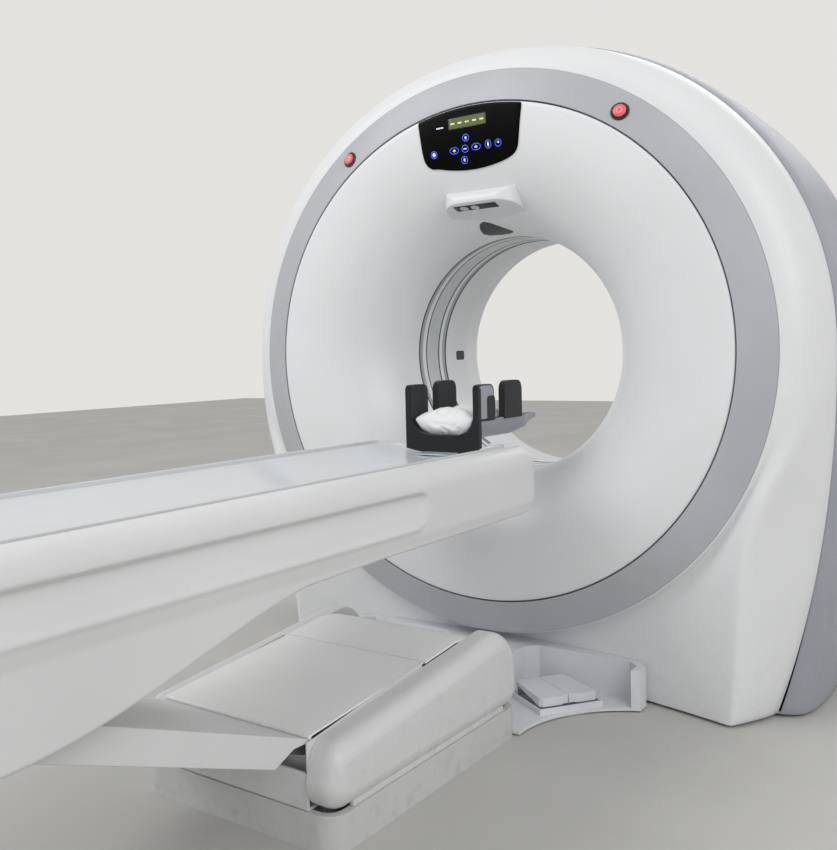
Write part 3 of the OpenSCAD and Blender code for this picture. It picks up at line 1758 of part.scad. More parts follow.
module head_pillow() {
    t = holder_wall + foam_t;
    color("#F2F3F4")
        translate([0, holder_near + 12 + pillow_l / 2, holder_low + t + 26])
            hull()
                for (sx = [-1, 1], sy = [-1, 1])
                    translate([sx * 50, sy * (pillow_l / 2 - 20), sx * 6])
                        scale([1, 1, 0.8])
                            sphere(r = 20, $fn = 20);
}

gantry_base();
levelling_feet();
stationary_frame();
bearing_outer_race();
bearing_balls();
bearing_inner_race();
rotor_plate();
xray_tube();
tube_cooler();
collimator();
hv_generator();
detector();
data_unit();
counterweights();
slip_ring();
brush_block();
drive_motor();
drive_pulley();
drive_belt();
front_cover();
trim_ring();
front_housing();
rear_housing();
rear_cover();
bore_gaskets();
bore_liners();
scan_window();
control_panel();
panel_display();
panel_keys();
sensor_housing();
sensor_window();
laser_window();
side_laser_windows();
stop_bezels();
stop_button_left();
stop_button_right();
pedal_tray();
pedal_pins();
pedal_up();
pedal_down();
table_plinth();
base_band();
side_pods();
base_top_cover();
lift_flap();
lift_arm();
lift_arm_cover();
pivot_pins();
level_link();
lift_actuator();
actuator_rod();
table_frame();
table_shell();
cradle_rollers();
cradle();
cradle_carriage();
head_holder();
holder_foam();
head_pillow();
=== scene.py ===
"""Finish of a compact CT scanner: gantry covers, controls, patient table and foot tray."""

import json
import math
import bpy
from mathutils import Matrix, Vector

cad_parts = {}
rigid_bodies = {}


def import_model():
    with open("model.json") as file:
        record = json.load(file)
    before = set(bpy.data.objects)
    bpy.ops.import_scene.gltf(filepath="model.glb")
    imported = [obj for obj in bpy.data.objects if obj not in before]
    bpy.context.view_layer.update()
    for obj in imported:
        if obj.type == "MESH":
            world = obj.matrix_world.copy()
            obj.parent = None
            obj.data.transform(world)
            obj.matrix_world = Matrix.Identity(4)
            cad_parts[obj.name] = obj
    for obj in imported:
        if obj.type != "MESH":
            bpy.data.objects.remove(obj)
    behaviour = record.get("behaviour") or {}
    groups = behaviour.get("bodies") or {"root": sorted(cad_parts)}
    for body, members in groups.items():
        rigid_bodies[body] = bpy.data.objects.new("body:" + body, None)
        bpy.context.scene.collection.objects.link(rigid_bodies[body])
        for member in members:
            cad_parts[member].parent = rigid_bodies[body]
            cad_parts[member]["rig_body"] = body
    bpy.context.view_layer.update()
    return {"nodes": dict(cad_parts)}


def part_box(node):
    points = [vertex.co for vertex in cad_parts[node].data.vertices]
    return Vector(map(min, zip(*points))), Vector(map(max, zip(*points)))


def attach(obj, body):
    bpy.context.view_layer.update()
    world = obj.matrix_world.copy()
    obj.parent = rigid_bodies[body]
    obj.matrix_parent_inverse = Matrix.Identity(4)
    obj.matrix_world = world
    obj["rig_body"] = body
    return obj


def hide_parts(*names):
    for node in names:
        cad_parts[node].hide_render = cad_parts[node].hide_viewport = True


bl_info = {
    "name": "CT Scanner Finish",
    "version": (1, 0, 0),
    "blender": (4, 5, 0),
    "location": "View3D > Sidebar > CT Scanner",
    "description": "Builds the covers, controls and table of a CT scanner on its packed frame",
    "category": "Object",
}

from contextlib import contextmanager

import bmesh
import bpy
import numpy as np
from bpy.props import FloatProperty, FloatVectorProperty, IntProperty, PointerProperty
from bpy.types import Operator, Panel, PropertyGroup
from mathutils import Matrix, Vector

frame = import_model()

# Sizes read from the frame, in metres.
COVER_LOW, COVER_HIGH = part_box("front_cover")
RING_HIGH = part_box("trim_ring")[1]
FRONT_LOW, FRONT_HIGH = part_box("front_housing")
ISO_Z = (COVER_LOW.z + COVER_HIGH.z) / 2
FRONT_Y = COVER_LOW.y
DISC_R = COVER_HIGH.x
RING_R = RING_HIGH.x
SEAM_Y = FRONT_HIGH.y
REAR_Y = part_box("rear_housing")[1].y - 0.001
HALF_W = FRONT_HIGH.x
SHELL_TOP = FRONT_HIGH.z - ISO_Z
FLOOR_GAP = FRONT_LOW.z

# Sizes of the gantry that the frame's boxes don't give.
BORE_R = 0.350
MOUTH_R = BORE_R + 0.002
TRIM_IN = DISC_R + 0.004
SETBACK = 0.025  # from the disc's edge back to the trim ring's outer edge
TRIM_CURVE = 1.3  # power of the trim ring's fall
FLARE_DEPTH = 0.200
SKIN = 0.006
OVAL = 2.06  # power of the housings' superellipse
WHITE_LOW = 1.700  # lower half axes of the two housings' outlines
GREY_LOW = 2.240
SUNK = ISO_Z + 0.045  # depth below the isocentre where an outline is closed
SWELL = 0.018
RIM_R = RING_R + 0.0012
RIM_Y = FRONT_Y + SETBACK + 0.002
DRUM_R = RING_R + 0.007
FOOT_X = 0.672
FOOT_Y = FRONT_Y + 0.010
FOOT_MID_Y = FRONT_Y + 0.125
REAR_HOLE_R = 0.712
STOP_ANGLE = math.radians(35)
STOP_HOLE_R = 0.0196
SENSOR_Y, SENSOR_Z = -0.3045, ISO_Z + 0.4187  # underside of the sensor housing

# Sizes of the patient table and the foot pedals.
TOP_Z = 0.694
TOP_FOOT, TOP_HEAD, TOP_HALF = -2.775, -0.452, 0.268
SLOT_FOOT, SLOT_HALF = -2.7, 0.2125
CRADLE_HALF = 0.208
SHOULDER_W, SHOULDER_H = 0.055, 0.048
SIDE_TURN = -1.448  # where the top cover's lower edge starts to fall
HOLDER_FLOOR = 0.6986
HOLDER_FAR = -0.284
PEDAL_PIN = (0.252, -0.415)
PEDAL_TURN = math.radians(56)


# Colours, and the settings that a user may change.
def shade(code):
    """Linear colour of a hexadecimal screen colour."""
    parts = np.array([int(code[i : i + 2], 16) for i in (1, 3, 5)]) / 255
    linear = np.where(parts <= 0.04045, parts / 12.92, ((parts + 0.055) / 1.055) ** 2.4)
    return tuple(float(v) for v in linear)


def length_property(label, default, low, high, note):
    """A length setting with a name, a description, its default and its limits."""
    return FloatProperty(
        name=label, description=note, default=default, min=low, max=high, unit="LENGTH"
    )


def colour_property(label, code, note):
    """A colour setting with a name, a description and its default."""
    return FloatVectorProperty(
        name=label, description=note, subtype="COLOR", size=3, min=0, max=1, default=shade(code)
    )


class ScannerSizes(PropertyGroup):
    """Sizes of the finish that don't touch the frame."""

    edge_round: length_property(
        "Edge rounding", 0.002, 0.0005, 0.004, "Radius on the edges of the small moulded pieces"
    )
    softness: IntProperty(
        name="Crease softness", description="How softly the housings turn at their creases",
        default=8, min=1, max=30,
    )
    seam_gap: length_property(
        "Seam gap", 0.0016, 0.001, 0.006, "Width of the dark seam between the two housings"
    )
    pillow_swell: length_property(
        "Pillow swell", 0.008, 0.0, 0.012, "How far the pillow may swell from its frame shape"
    )


class ScannerColours(PropertyGroup):
    """Colours of the moulded covers and controls."""

    cover: colour_property("Gantry cover", "#E3E4E6", "White moulded covers of the gantry")
    disc: colour_property("Front disc", "#E4E6E8", "Front disc and its flare")
    trim: colour_property("Trim ring", "#B3B5BA", "Grey ring round the front disc")
    rear: colour_property("Rear cover", "#A1A4AD", "Grey rear housing")
    table: colour_property("Table cover", "#D7D7D8", "Moulded covers of the patient table")
    tray: colour_property("Foot tray", "#DDDFE3", "Foot tray and pedals")
    keys: colour_property("Key light", "#4456FF", "Light of the panel's keys")
    stop: colour_property("Stop button", "#EE6A72", "Stop buttons")


# Shader maths: a value wraps a socket, and an expression on values adds its Math nodes.
class Value:
    """A number or colour that varies over a surface."""

    def __init__(self, shader, socket):
        self.shader = shader
        self.socket = socket

    def _math(self, operation, first, second):
        return self.shader.node(
            "ShaderNodeMath", {"operation": operation}, {0: first, 1: second}
        )

    def __add__(self, other):
        return self._math("ADD", self, other)

    __radd__ = __add__

    def __sub__(self, other):
        return self._math("SUBTRACT", self, other)

    def __rsub__(self, other):
        return self._math("SUBTRACT", other, self)

    def __mul__(self, other):
        return self._math("MULTIPLY", self, other)

    __rmul__ = __mul__

    def ramp(self, low, high):
        """0 below low, 1 above high, and a smooth change between them."""
        return self.shader.node(
            "ShaderNodeMapRange",
            {"interpolation_type": "SMOOTHSTEP"},
            {"Value": self, "From Min": low, "From Max": high},
        )


class Shader:
    """A material, or the world, whose nodes are added by one method."""

    def __init__(self, name, owner=None):
        self.material = owner or bpy.data.materials.new(name)
        self.material.use_nodes = True
        self.tree = self.material.node_tree
        self.tree.nodes.clear()

    def node(self, kind, settings=None, inputs=None, out=0):
        """Adds a node of a type, sets it up, fills or links its sockets, and returns one output."""
        node = self.tree.nodes.new(kind)
        for key, value in (settings or {}).items():
            setattr(node, key, value)
        for key, value in (inputs or {}).items():
            socket = node.inputs[key]
            if isinstance(value, Value):
                self.tree.links.new(value.socket, socket)
            elif socket.type == "RGBA":
                socket.default_value = (*value, 1)
            else:
                socket.default_value = value
        return Value(self, node.outputs[out]) if len(node.outputs) else None

    def place(self, stretch=None):
        """Object coordinates in metres, stretched along each axis if wanted."""
        place = self.node("ShaderNodeTexCoord", out=3)
        if stretch is None:
            return place
        return self.node("ShaderNodeMapping", None, {"Vector": place, "Scale": stretch})

    def height(self):
        """Height above the floor."""
        return self.node("ShaderNodeSeparateXYZ", None, {0: self.place()}, out=2)

    def noise(self, scale, detail=3.0, rough=0.5, stretch=None):
        """Cloudy noise from 0 to 1, with its scale in cycles per metre."""
        return self.node(
            "ShaderNodeTexNoise",
            None,
            {"Vector": self.place(stretch), "Scale": scale, "Detail": detail, "Roughness": rough},
        )

    def cells(self, scale):
        """Distance to the nearest of many scattered points, from 0 to about 1."""
        return self.node(
            "ShaderNodeTexVoronoi", None, {"Vector": self.place(), "Scale": scale}
        )

    def threads(self, scale, direction):
        """Waves across one axis, for threads or brushed lines."""
        return self.node(
            "ShaderNodeTexWave",
            {"bands_direction": direction},
            {"Vector": self.place(), "Scale": scale, "Distortion": 0.6, "Detail": 1.0},
            out=1,
        )

    def mixed(self, factor, first, second):
        """A colour between two colours."""
        return self.node(
            "ShaderNodeMix", {"data_type": "RGBA"}, {0: factor, 6: first, 7: second}, out=2
        )

    def clouded(self, colour, scale, dark, pale, detail=4):
        """A colour in soft clouds between a darker and a paler share of itself."""
        cloud = self.noise(scale, detail).ramp(0.3, 0.7)
        return self.mixed(cloud, scaled(colour, dark), scaled(colour, pale))

    def bump(self, height, distance, strength=1.0):
        """A normal from a height, with its depth in metres."""
        return self.node(
            "ShaderNodeBump",
            None,
            {"Height": height, "Distance": distance, "Strength": strength},
        )

    def finish(self, **inputs):
        """Ends the material in a Principled shader with these sockets."""
        names = {key.replace("_", " "): value for key, value in inputs.items()}
        shader = self.node("ShaderNodeBsdfPrincipled", None, names)
        self.node("ShaderNodeOutputMaterial", None, {"Surface": shader})
        return self.material


def scaled(colour, factor):
    """A colour made lighter or darker."""
    return tuple(min(1.0, c * factor) for c in colour)


def moulded(name, colour, rough=0.38, grain=900, depth=0.00006, soil=0.0, soil_top=0.25):
    """Moulded plastic: cloudy colour, fine orange peel, and soiling that fades upwards."""
    s = Shader(name)
    dirt = s.noise(26, 5, 0.65).ramp(0.48, 0.72)
    low = 1 - s.height().ramp(0.01, soil_top)
    stain = dirt * (low * soil + soil * 0.08)
    return s.finish(
        Base_Color=s.mixed(stain, s.clouded(colour, 2.2, 0.965, 1.02), scaled(colour, 0.52)),
        Roughness=s.noise(14, 4) * 0.12 + (rough - 0.06) + stain * 0.2,
        Normal=s.bump(s.noise(grain, 2), depth, 0.6),
        Specular_IOR_Level=0.45,
    )


def scuffed(name, colour, rough=0.36):
    """Satin paint with short rub marks, pale at their middle, in two directions."""
    s = Shader(name)
    first = s.noise(60, 3, 0.6, (1.0, 1.0, 9.0)).ramp(0.66, 0.74)
    second = s.noise(75, 3, 0.6, (8.0, 1.0, 1.0)).ramp(0.68, 0.76)
    marks = (first + second) * s.noise(9, 2).ramp(0.45, 0.6)
    return s.finish(
        Base_Color=s.mixed(marks * 0.45, s.clouded(colour, 3, 0.95, 1.04), scaled(colour, 1.45)),
        Roughness=s.noise(20, 3) * 0.14 + (rough - 0.07) + marks * 0.15,
        Normal=s.bump(s.noise(700, 2), 0.00005, 0.6),
        Specular_IOR_Level=0.5,
    )


def textured(name, colour, rough=0.6, grain=1400, depth=0.00018, speck=0.12):
    """Spark-textured moulded plastic with a fine grain in height and colour."""
    s = Shader(name)
    grains = s.cells(grain)
    specks, wear = grains.ramp(0.1, 0.7) * speck, s.noise(11, 5, 0.6).ramp(0.56, 0.7)
    base = s.mixed(specks, s.clouded(colour, 5, 0.93, 1.05), scaled(colour, 0.6))
    return s.finish(
        Base_Color=s.mixed(wear * 0.25, base, scaled(colour, 1.2)),
        Roughness=s.noise(30, 3) * 0.15 + (rough - 0.08),
        Normal=s.bump(grains, depth, 0.7),
        Specular_IOR_Level=0.4,
    )


def two_tone(name, colour, low_colour, level):
    """Moulded plastic of one colour above a level and another below it."""
    s = Shader(name)
    high = s.clouded(colour, 6, 0.94, 1.04)
    low = s.clouded(low_colour, 6, 0.96, 1.02)
    return s.finish(
        Base_Color=s.mixed(s.height().ramp(level - 0.001, level + 0.001), low, high),
        Roughness=s.noise(20, 3) * 0.12 + 0.3,
        Normal=s.bump(s.noise(800, 2), 0.00005, 0.6),
    )


def gloss(name, colour, rough=0.1, smudge=0.25, shine=0.5):
    """Glossy plastic or glass seen as dark, with finger smudges in its gloss."""
    s = Shader(name)
    marks = s.noise(18, 4, 0.6).ramp(0.5, 0.7)
    return s.finish(
        Base_Color=s.mixed(s.noise(6, 3), scaled(colour, 0.9), scaled(colour, 1.1)),
        Roughness=marks * smudge + rough,
        Normal=s.bump(s.noise(300, 2), 0.00001, 0.4),
        Specular_IOR_Level=shine,
    )


def lit(name, colour, strength):
    """A light behind a printed cover, a little uneven."""
    s = Shader(name)
    body = (0.02, 0.02, 0.03)
    uneven = s.noise(220, 2).ramp(0.2, 0.8)
    return s.finish(
        Base_Color=s.mixed(uneven, body, scaled(colour, 0.6)),
        Roughness=0.3,
        Emission_Color=s.mixed(uneven, scaled(colour, 0.8), colour),
        Emission_Strength=strength,
        Normal=s.bump(uneven, 0.00002, 0.3),
    )


def metal(name, colour, rough=0.32):
    """Machined or brushed metal with fine lines and cloudy gloss."""
    s = Shader(name)
    return s.finish(
        Base_Color=s.mixed(s.noise(12, 4), scaled(colour, 0.86), scaled(colour, 1.06)),
        Metallic=1.0,
        Roughness=s.noise(25, 4) * 0.18 + (rough - 0.09),
        Normal=s.bump(s.threads(700, "X"), 0.00003, 0.5),
    )


def soft(name, colour, rough=0.9, grain=900, depth=0.0005, sheen=0.0):
    """Foam or rubber: small open cells in height, colour and gloss."""
    s = Shader(name)
    cells = s.cells(grain)
    base = s.mixed(cells.ramp(0.0, 0.6), scaled(colour, 0.7), scaled(colour, 1.3))
    base = s.mixed(s.noise(8, 4).ramp(0.4, 0.7) * 0.3, base, scaled(colour, 1.8))
    return s.finish(
        Base_Color=base,
        Roughness=s.noise(40, 3) * 0.1 + (rough - 0.05),
        Normal=s.bump(cells, depth, 0.7),
        Sheen_Weight=sheen,
        Specular_IOR_Level=0.3,
    )


def woven(name, colour):
    """Cotton: crossed threads, soft wrinkles and a little sheen."""
    s = Shader(name)
    weave = s.threads(420, "X") * 0.5 + s.threads(420, "Y") * 0.5
    folds = s.noise(26, 4, 0.55)
    tone = s.mixed(weave * 0.35, scaled(colour, 1.0), scaled(colour, 0.88))
    tone = s.mixed(s.noise(9, 3).ramp(0.45, 0.75) * 0.3, tone, scaled(colour, 0.9))
    return s.finish(
        Base_Color=tone,
        Roughness=weave * 0.08 + 0.86,
        Normal=s.bump(folds * 6.0 + weave, 0.0003, 0.7),
        Sheen_Weight=0.25,
    )


# Each slot's or piece's finish: its maker, its colour as a code or a setting, and its options.
FINISH_TABLE = {
    "cover_white": (moulded, "cover", {"rough": 0.36, "soil": 0.14}),
    "front_disc": (moulded, "disc", {"rough": 0.32}),
    "trim_grey": (scuffed, "trim", {}),
    "cover_grey": (textured, "rear", {"rough": 0.5, "depth": 0.00008, "speck": 0.05}),
    "table_white": (moulded, "table", {"rough": 0.34, "soil": 0.22, "soil_top": 0.3}),
    "table_shadow": (moulded, "#CBCBCA", {"rough": 0.45, "soil": 0.25, "soil_top": 0.12}),
    # A lighter copy of the table's colour: painted light on the base lid, the flap and its lip,
    # which lie in the table's shade.
    "table_light": (moulded, "#F0F0EF", {"rough": 0.34, "soil": 0.15}),
    "cradle_white": (moulded, "#CDD0D3", {"rough": 0.22}),
    "tray_grey": (textured, "tray", {}),
    "panel_black": (gloss, "#030305", {"rough": 0.3, "smudge": 0.1, "shine": 0.08}),
    "lcd_glass": (gloss, "#626B47", {"rough": 0.2, "smudge": 0.1}),
    "lcd_segments": (lit, "#DCE88A", {"strength": 0.9}),
    "key_blue": (lit, "keys", {"strength": 1.1}),
    "key_white": (lit, "#DDE3F2", {"strength": 0.9}),
    "dark_window": (gloss, "#202427", {"rough": 0.12, "smudge": 0.2, "shine": 0.3}),
    "smoked_window": (gloss, "#4B4F50", {"rough": 0.25, "smudge": 0.2, "shine": 0.3}),
    "holder_grey": (two_tone, "#9C9FA8", {"low_colour": shade("#D3D5D8"), "level": TOP_Z}),
    "gasket_grey": (soft, "#94999B", {"rough": 0.6, "depth": 0.0001}),
    "gasket_dark": (soft, "#3C4043", {"rough": 0.6, "depth": 0.0001}),
    "lens_pale": (gloss, "#B9C3C9", {"rough": 0.15}),
    "stop_red": (moulded, "stop", {"rough": 0.3, "depth": 0.00002}),
    "stop_mark": (moulded, "#F6C9C9", {"rough": 0.4, "depth": 0.00002}),
    "black_plastic": (textured, "#2B2D31", {"rough": 0.5, "depth": 0.00008}),
    # Painted shade: the dark strips set in the gap between the housings and beside the cradle in
    # its slot.
    "seam_dark": (soft, "#26282B", {"rough": 0.8, "depth": 0.0001}),
    "gasket_rubber": (soft, "#5B6066", {"rough": 0.7, "depth": 0.0001}),
    "clear_window": (gloss, "#C4C9CB", {"rough": 0.25, "smudge": 0.1}),
    "foam_black": (soft, "#17191B", {"rough": 0.92, "sheen": 0.2}),
    "cotton_white": (woven, "#F0F1F2", {}),
    "rubber": (soft, "#232528", {"rough": 0.8, "depth": 0.0002}),
    "steel": (metal, "#C3C6CA", {}),
    "aluminium": (metal, "#D2D4D6", {"rough": 0.38}),
    "cast_iron": (textured, "#4B5057", {"rough": 0.6, "grain": 500, "depth": 0.0004}),
    "brass": (metal, "#C8A85A", {"rough": 0.3}),
    "dark_paint": (scuffed, "#4A4E54", {}),
    "frame_paint": (scuffed, "#6A6F77", {}),
    "grey_paint": (scuffed, "#8A9098", {}),
    "lead_housing": (textured, "#6E737A", {"rough": 0.55, "grain": 400, "depth": 0.0003}),
    "detector_case": (scuffed, "#B6BABF", {}),
    "board_green": (gloss, "#2F5A3C", {"rough": 0.35}),
}
FINISHES = {}


def make_finishes(colours):
    """Makes every finish, and gives each CAD node's slots the finish of the same name."""
    for name, (maker, tone, options) in FINISH_TABLE.items():
        colour = shade(tone) if tone.startswith("#") else tuple(getattr(colours, tone))
        FINISHES[name] = maker(name, colour, **options)
    for node in frame["nodes"].values():
        for slot in node.material_slots:
            slot.material = FINISHES[slot_name(slot)]


def slot_name(slot):
    """The record's name of a slot, without the number that Blender may add."""
    return slot.material.name.split(".")[0]


# Curves and grids.
def smooth(t):
    """Smooth step from 0 to 1."""
    t = np.clip(t, 0, 1)
    return t * t * (3 - 2 * t)


def mix(a, b, t):
    """Straight mix of two values."""
    return a + (b - a) * t


def softened(grid, axis, passes, wrap=False):
    """Each point moved to the mean 1:2:1 of its neighbours along an axis, some times over."""
    grid = np.moveaxis(grid, axis, 0).copy()
    for _ in range(passes):
        if wrap:
            grid = (np.roll(grid, 1, 0) + 2 * grid + np.roll(grid, -1, 0)) / 4
        else:
            grid[1:-1] = (grid[:-2] + 2 * grid[1:-1] + grid[2:]) / 4
    return np.moveaxis(grid, 0, axis)


def refined(points, count, axis=0):
    """Straight runs between given points cut into equal shares of the run number."""
    points = np.moveaxis(np.asarray(points, float), axis, 0)
    place = np.linspace(0, len(points) - 1, count)
    low = np.minimum(place.astype(int), len(points) - 2)
    share = (place - low).reshape(-1, *([1] * (points.ndim - 1)))
    return np.moveaxis(mix(points[low], points[low + 1], share), 0, axis)


def rounded(points, radii, steps=6):
    """A closed outline with each corner replaced by an arc-like curve of the given reach."""
    points = np.asarray(points, float)
    before, after = np.roll(points, 1, 0), np.roll(points, -1, 0)
    radii = np.broadcast_to(np.asarray(radii, float), len(points))[:, None]
    back, ahead = before - points, after - points
    back_l = np.linalg.norm(back, axis=1, keepdims=True)
    ahead_l = np.linalg.norm(ahead, axis=1, keepdims=True)
    start = points + back / back_l * np.minimum(radii, back_l * 0.49)
    end = points + ahead / ahead_l * np.minimum(radii, ahead_l * 0.49)
    t = np.linspace(0, 1, steps)[None, :, None]
    curve = (1 - t) ** 2 * start[:, None] + 2 * t * (1 - t) * points[:, None] + t**2 * end[:, None]
    return curve.reshape(-1, points.shape[1])


def faces_of(shape, wrap_rows, wrap_cols, first):
    """Quads between neighbouring points of a grid, and an end face where a tube is open."""
    rows, cols = shape
    index = np.arange(rows * cols).reshape(rows, cols) + first
    if wrap_rows:
        index = np.vstack((index, index[:1]))
    if wrap_cols:
        index = np.hstack((index, index[:, :1]))
    corners = (index[:-1, :-1], index[:-1, 1:], index[1:, 1:], index[1:, :-1])
    faces = np.stack(corners, -1).reshape(-1, 4).tolist()
    if wrap_cols and not wrap_rows:
        faces += [index[0, :-1].tolist()[::-1], index[-1, :-1].tolist()]
    return faces


def moulding(name, *grids, wrap_rows=False):
    """A mesh round one or more grids of rows x columns x 3, with its doubles merged."""
    points, faces, first = [], [], 0
    for grid in grids:
        faces += faces_of(grid.shape[:2], wrap_rows, True, first)
        points.append(grid.reshape(-1, 3))
        first += len(points[-1])
    mesh = bpy.data.meshes.new(name)
    mesh.from_pydata(np.concatenate(points), [], faces)
    tidied(mesh)
    return linked(name, mesh)


@contextmanager
def opened(mesh):
    """Opens a mesh for work on its corners, edges and faces, and writes it back."""
    work = bmesh.new()
    work.from_mesh(mesh)
    yield work
    work.to_mesh(mesh)
    work.free()


def tidied(mesh, merge=2e-6, flat=0.0):
    """Merges doubles, joins flat faces if asked, and turns all faces outwards."""
    with opened(mesh) as work:
        bmesh.ops.remove_doubles(work, verts=work.verts, dist=merge)
        bmesh.ops.dissolve_degenerate(work, dist=merge, edges=work.edges)
        if flat:
            bmesh.ops.dissolve_limit(
                work, angle_limit=flat, verts=work.verts, edges=work.edges,
                use_dissolve_boundaries=False,
            )
        bmesh.ops.recalc_face_normals(work, faces=work.faces)


def cut_across(work, place, normal, parts=None, **options):
    """Cuts some parts of an open mesh, or all of it, by a plane."""
    if parts is None:
        parts = work.verts[:] + work.edges[:] + work.faces[:]
    bmesh.ops.bisect_plane(work, geom=parts, plane_co=place, plane_no=normal, **options)


def square_to(axis):
    """An axis made one long, and two directions square to it."""
    axis = Vector(axis).normalized()
    side = axis.cross(Vector((0.3, 0.2, 0.9))).normalized()
    return axis, side, axis.cross(side)


def pierced(mesh, centre, axis, radius, cuts=20, near_r=0.06, depth=0.04):
    """Cuts a round hole along an axis through a thin hollow sheet and walls its rim."""
    axis, side, other = square_to(axis)

    def reach(point):
        away = point - centre
        along = away.dot(axis)
        return (away - axis * along).length if abs(along) < depth else math.inf

    with opened(mesh) as work:
        for turn in (2 * math.pi * step / cuts for step in range(cuts)):
            way = side * math.cos(turn) + other * math.sin(turn)
            near = [face for face in work.faces if reach(face.calc_center_median()) < near_r]
            parts = list({item for face in near for item in (*face.verts, *face.edges, face)})
            cut_across(work, centre + way * radius, way, parts)
        inside = [
            face for face in work.faces
            if all(reach(vert.co) < radius * 1.03 for vert in face.verts)
        ]
        bmesh.ops.delete(work, geom=inside, context="FACES")
        bmesh.ops.bridge_loops(work, edges=[edge for edge in work.edges if edge.is_boundary])
        bmesh.ops.recalc_face_normals(work, faces=work.faces)


def points_of(mesh):
    """A mesh's corners as rows of x, y and z."""
    place = np.zeros(len(mesh.vertices) * 3, np.float32)
    mesh.vertices.foreach_get("co", place)
    return place.reshape(-1, 3)


def linked(name, mesh):
    """A new object for a mesh, in the scene."""
    obj = bpy.data.objects.new(name, mesh)
    bpy.context.scene.collection.objects.link(obj)
    return obj


def dress(obj, body, slot, *nodes, finish=None, sharp=38, bevel=0.0, segments=2):
    """Gives a piece its body, its finish (the one given, else the slot's) and shading, and hides
    the nodes that it stands for.
    """
    obj.data.materials.clear()
    obj.data.materials.append(FINISHES[finish or slot])
    obj.data.shade_smooth()
    obj.data.set_sharp_from_angle(angle=math.radians(sharp))
    if bevel:
        edge = obj.modifiers.new("edge", "BEVEL")
        edge.width = bevel
        edge.segments = segments
        edge.limit_method = "ANGLE"
        edge.angle_limit = math.radians(sharp)
        even = obj.modifiers.new("even", "WEIGHTED_NORMAL")
        even.keep_sharp = True
    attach(obj, body)
    if nodes:
        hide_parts(*nodes)
    return obj


def dressed_node(node, name, bevel=0.0015, sharp=34, finish=None, segments=2, flat=0.004):
    """A smooth-edged copy of a CAD node, merged first, that stands for it."""
    source = frame["nodes"][node]
    mesh = source.data.copy()
    if "custom_normal" in mesh.attributes:
        mesh.attributes.remove(mesh.attributes["custom_normal"])
    tidied(mesh, 1e-5, flat)
    slot = slot_name(source.material_slots[0])
    return dress(
        linked(name, mesh), source["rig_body"], slot, node,
        finish=finish, sharp=sharp, bevel=bevel, segments=segments,
    )


def round_angles(count):
    """Even angles round a full turn."""
    return np.linspace(0, 2 * math.pi, count, endpoint=False)


def turned_rings(profile, segments=256):
    """A profile of (radius, y) carried round the bore's axis."""
    angle = round_angles(segments)
    r, y = profile[:, :1], profile[:, 1:]
    x = r * np.sin(angle)
    return np.stack((x, np.broadcast_to(y, x.shape), ISO_Z + r * np.cos(angle)), -1)


def turned_on(profile, origin, axis, segments=64):
    """A profile of (radius, height) carried round an axis through a point."""
    axis, side, other = (np.array(way) for way in square_to(axis))
    angle = round_angles(segments)[:, None]
    ring = np.cos(angle) * side + np.sin(angle) * other
    radius, height = (part[:, None, None] for part in np.transpose(profile))
    return np.array(origin) + radius * ring + height * axis


# The front disc, the trim ring and what lies on them.
def flare_y(r):
    """Depth of the disc's face: a dish that falls towards the bore as a power of the radius."""
    share = np.clip((r - MOUTH_R) / (DISC_R - MOUTH_R), 0, 1)
    return FRONT_Y + FLARE_DEPTH * (1 - share**0.75) ** 2.3


def trim_y(r):
    """Depth of the trim ring's face: it falls back as a power of the share of its width."""
    return FRONT_Y + SETBACK * ((r - TRIM_IN) / (RING_R - TRIM_IN)) ** TRIM_CURVE


def stop_place(side):
    """Centre and outward axis of a stop button on the trim band, at its left (-1) or right (1)."""
    r = (DISC_R + RING_R) / 2 - 0.003
    span = RING_R - TRIM_IN
    slope = math.atan(TRIM_CURVE * SETBACK / span * ((r - TRIM_IN) / span) ** (TRIM_CURVE - 1))
    out = Vector((math.sin(STOP_ANGLE * side), 0, math.cos(STOP_ANGLE * side)))
    axis = -math.cos(slope) * Vector((0, 1, 0)) + math.sin(slope) * out
    return out * r + Vector((0, trim_y(r), ISO_Z)), axis


def on_flare(x, z, lift):
    """Points over the disc's face at x and height z from the isocentre, raised along its normal."""
    r = np.hypot(x, z)
    slope = (flare_y(r + 1e-4) - flare_y(r - 1e-4)) / 2e-4
    size = np.sqrt(1 + slope**2)
    nx, ny, nz = slope * x / r / size, -1 / size, slope * z / r / size
    return np.stack((x + lift * nx, flare_y(r) + lift * ny, ISO_Z + z + lift * nz), -1)


def patch(outline, low, high, edge=0.0008, rings=8):
    """A thin pad on the disc: an outline's rings shrunk to its middle, at its front and back."""
    outline = np.asarray(outline, float)
    middle = outline.mean(0)
    reach = np.linalg.norm(outline - middle, axis=1).mean()
    inset = 1 - edge / reach
    front = np.linspace(inset, 0, rings) ** 0.9
    back = np.linspace(0, 1, rings)
    share = np.concatenate((back, [1, 1, (1 + inset) / 2 + (1 - inset) * 0.2], front))
    lift = np.concatenate((
        np.full(rings, low), [low, high - edge, high - edge * 0.3], np.full(rings, high),
    ))
    flat = middle + share[:, None, None] * (outline - middle)
    return on_flare(flat[..., 0], flat[..., 1], lift[:, None])


def ring_patch(outline, width, low, high):
    """A thin closed band along an outline on the disc."""
    outline = np.asarray(outline, float)
    middle = outline.mean(0)
    away = outline - middle
    unit = away / np.linalg.norm(away, axis=1, keepdims=True)
    inner = outline - unit * width
    share = np.array([0, 0, 0.5, 1, 1])
    lift = np.array([low, high * 0.9, high, high * 0.9, low])
    flat = mix(outline[None], inner[None], share[:, None, None])
    return on_flare(flat[..., 0], flat[..., 1], lift[:, None])


def oval_line(x, z, rx, rz, count=40):
    """An ellipse round a point."""
    angle = round_angles(count)
    return np.stack((x + rx * np.cos(angle), z + rz * np.sin(angle)), -1)


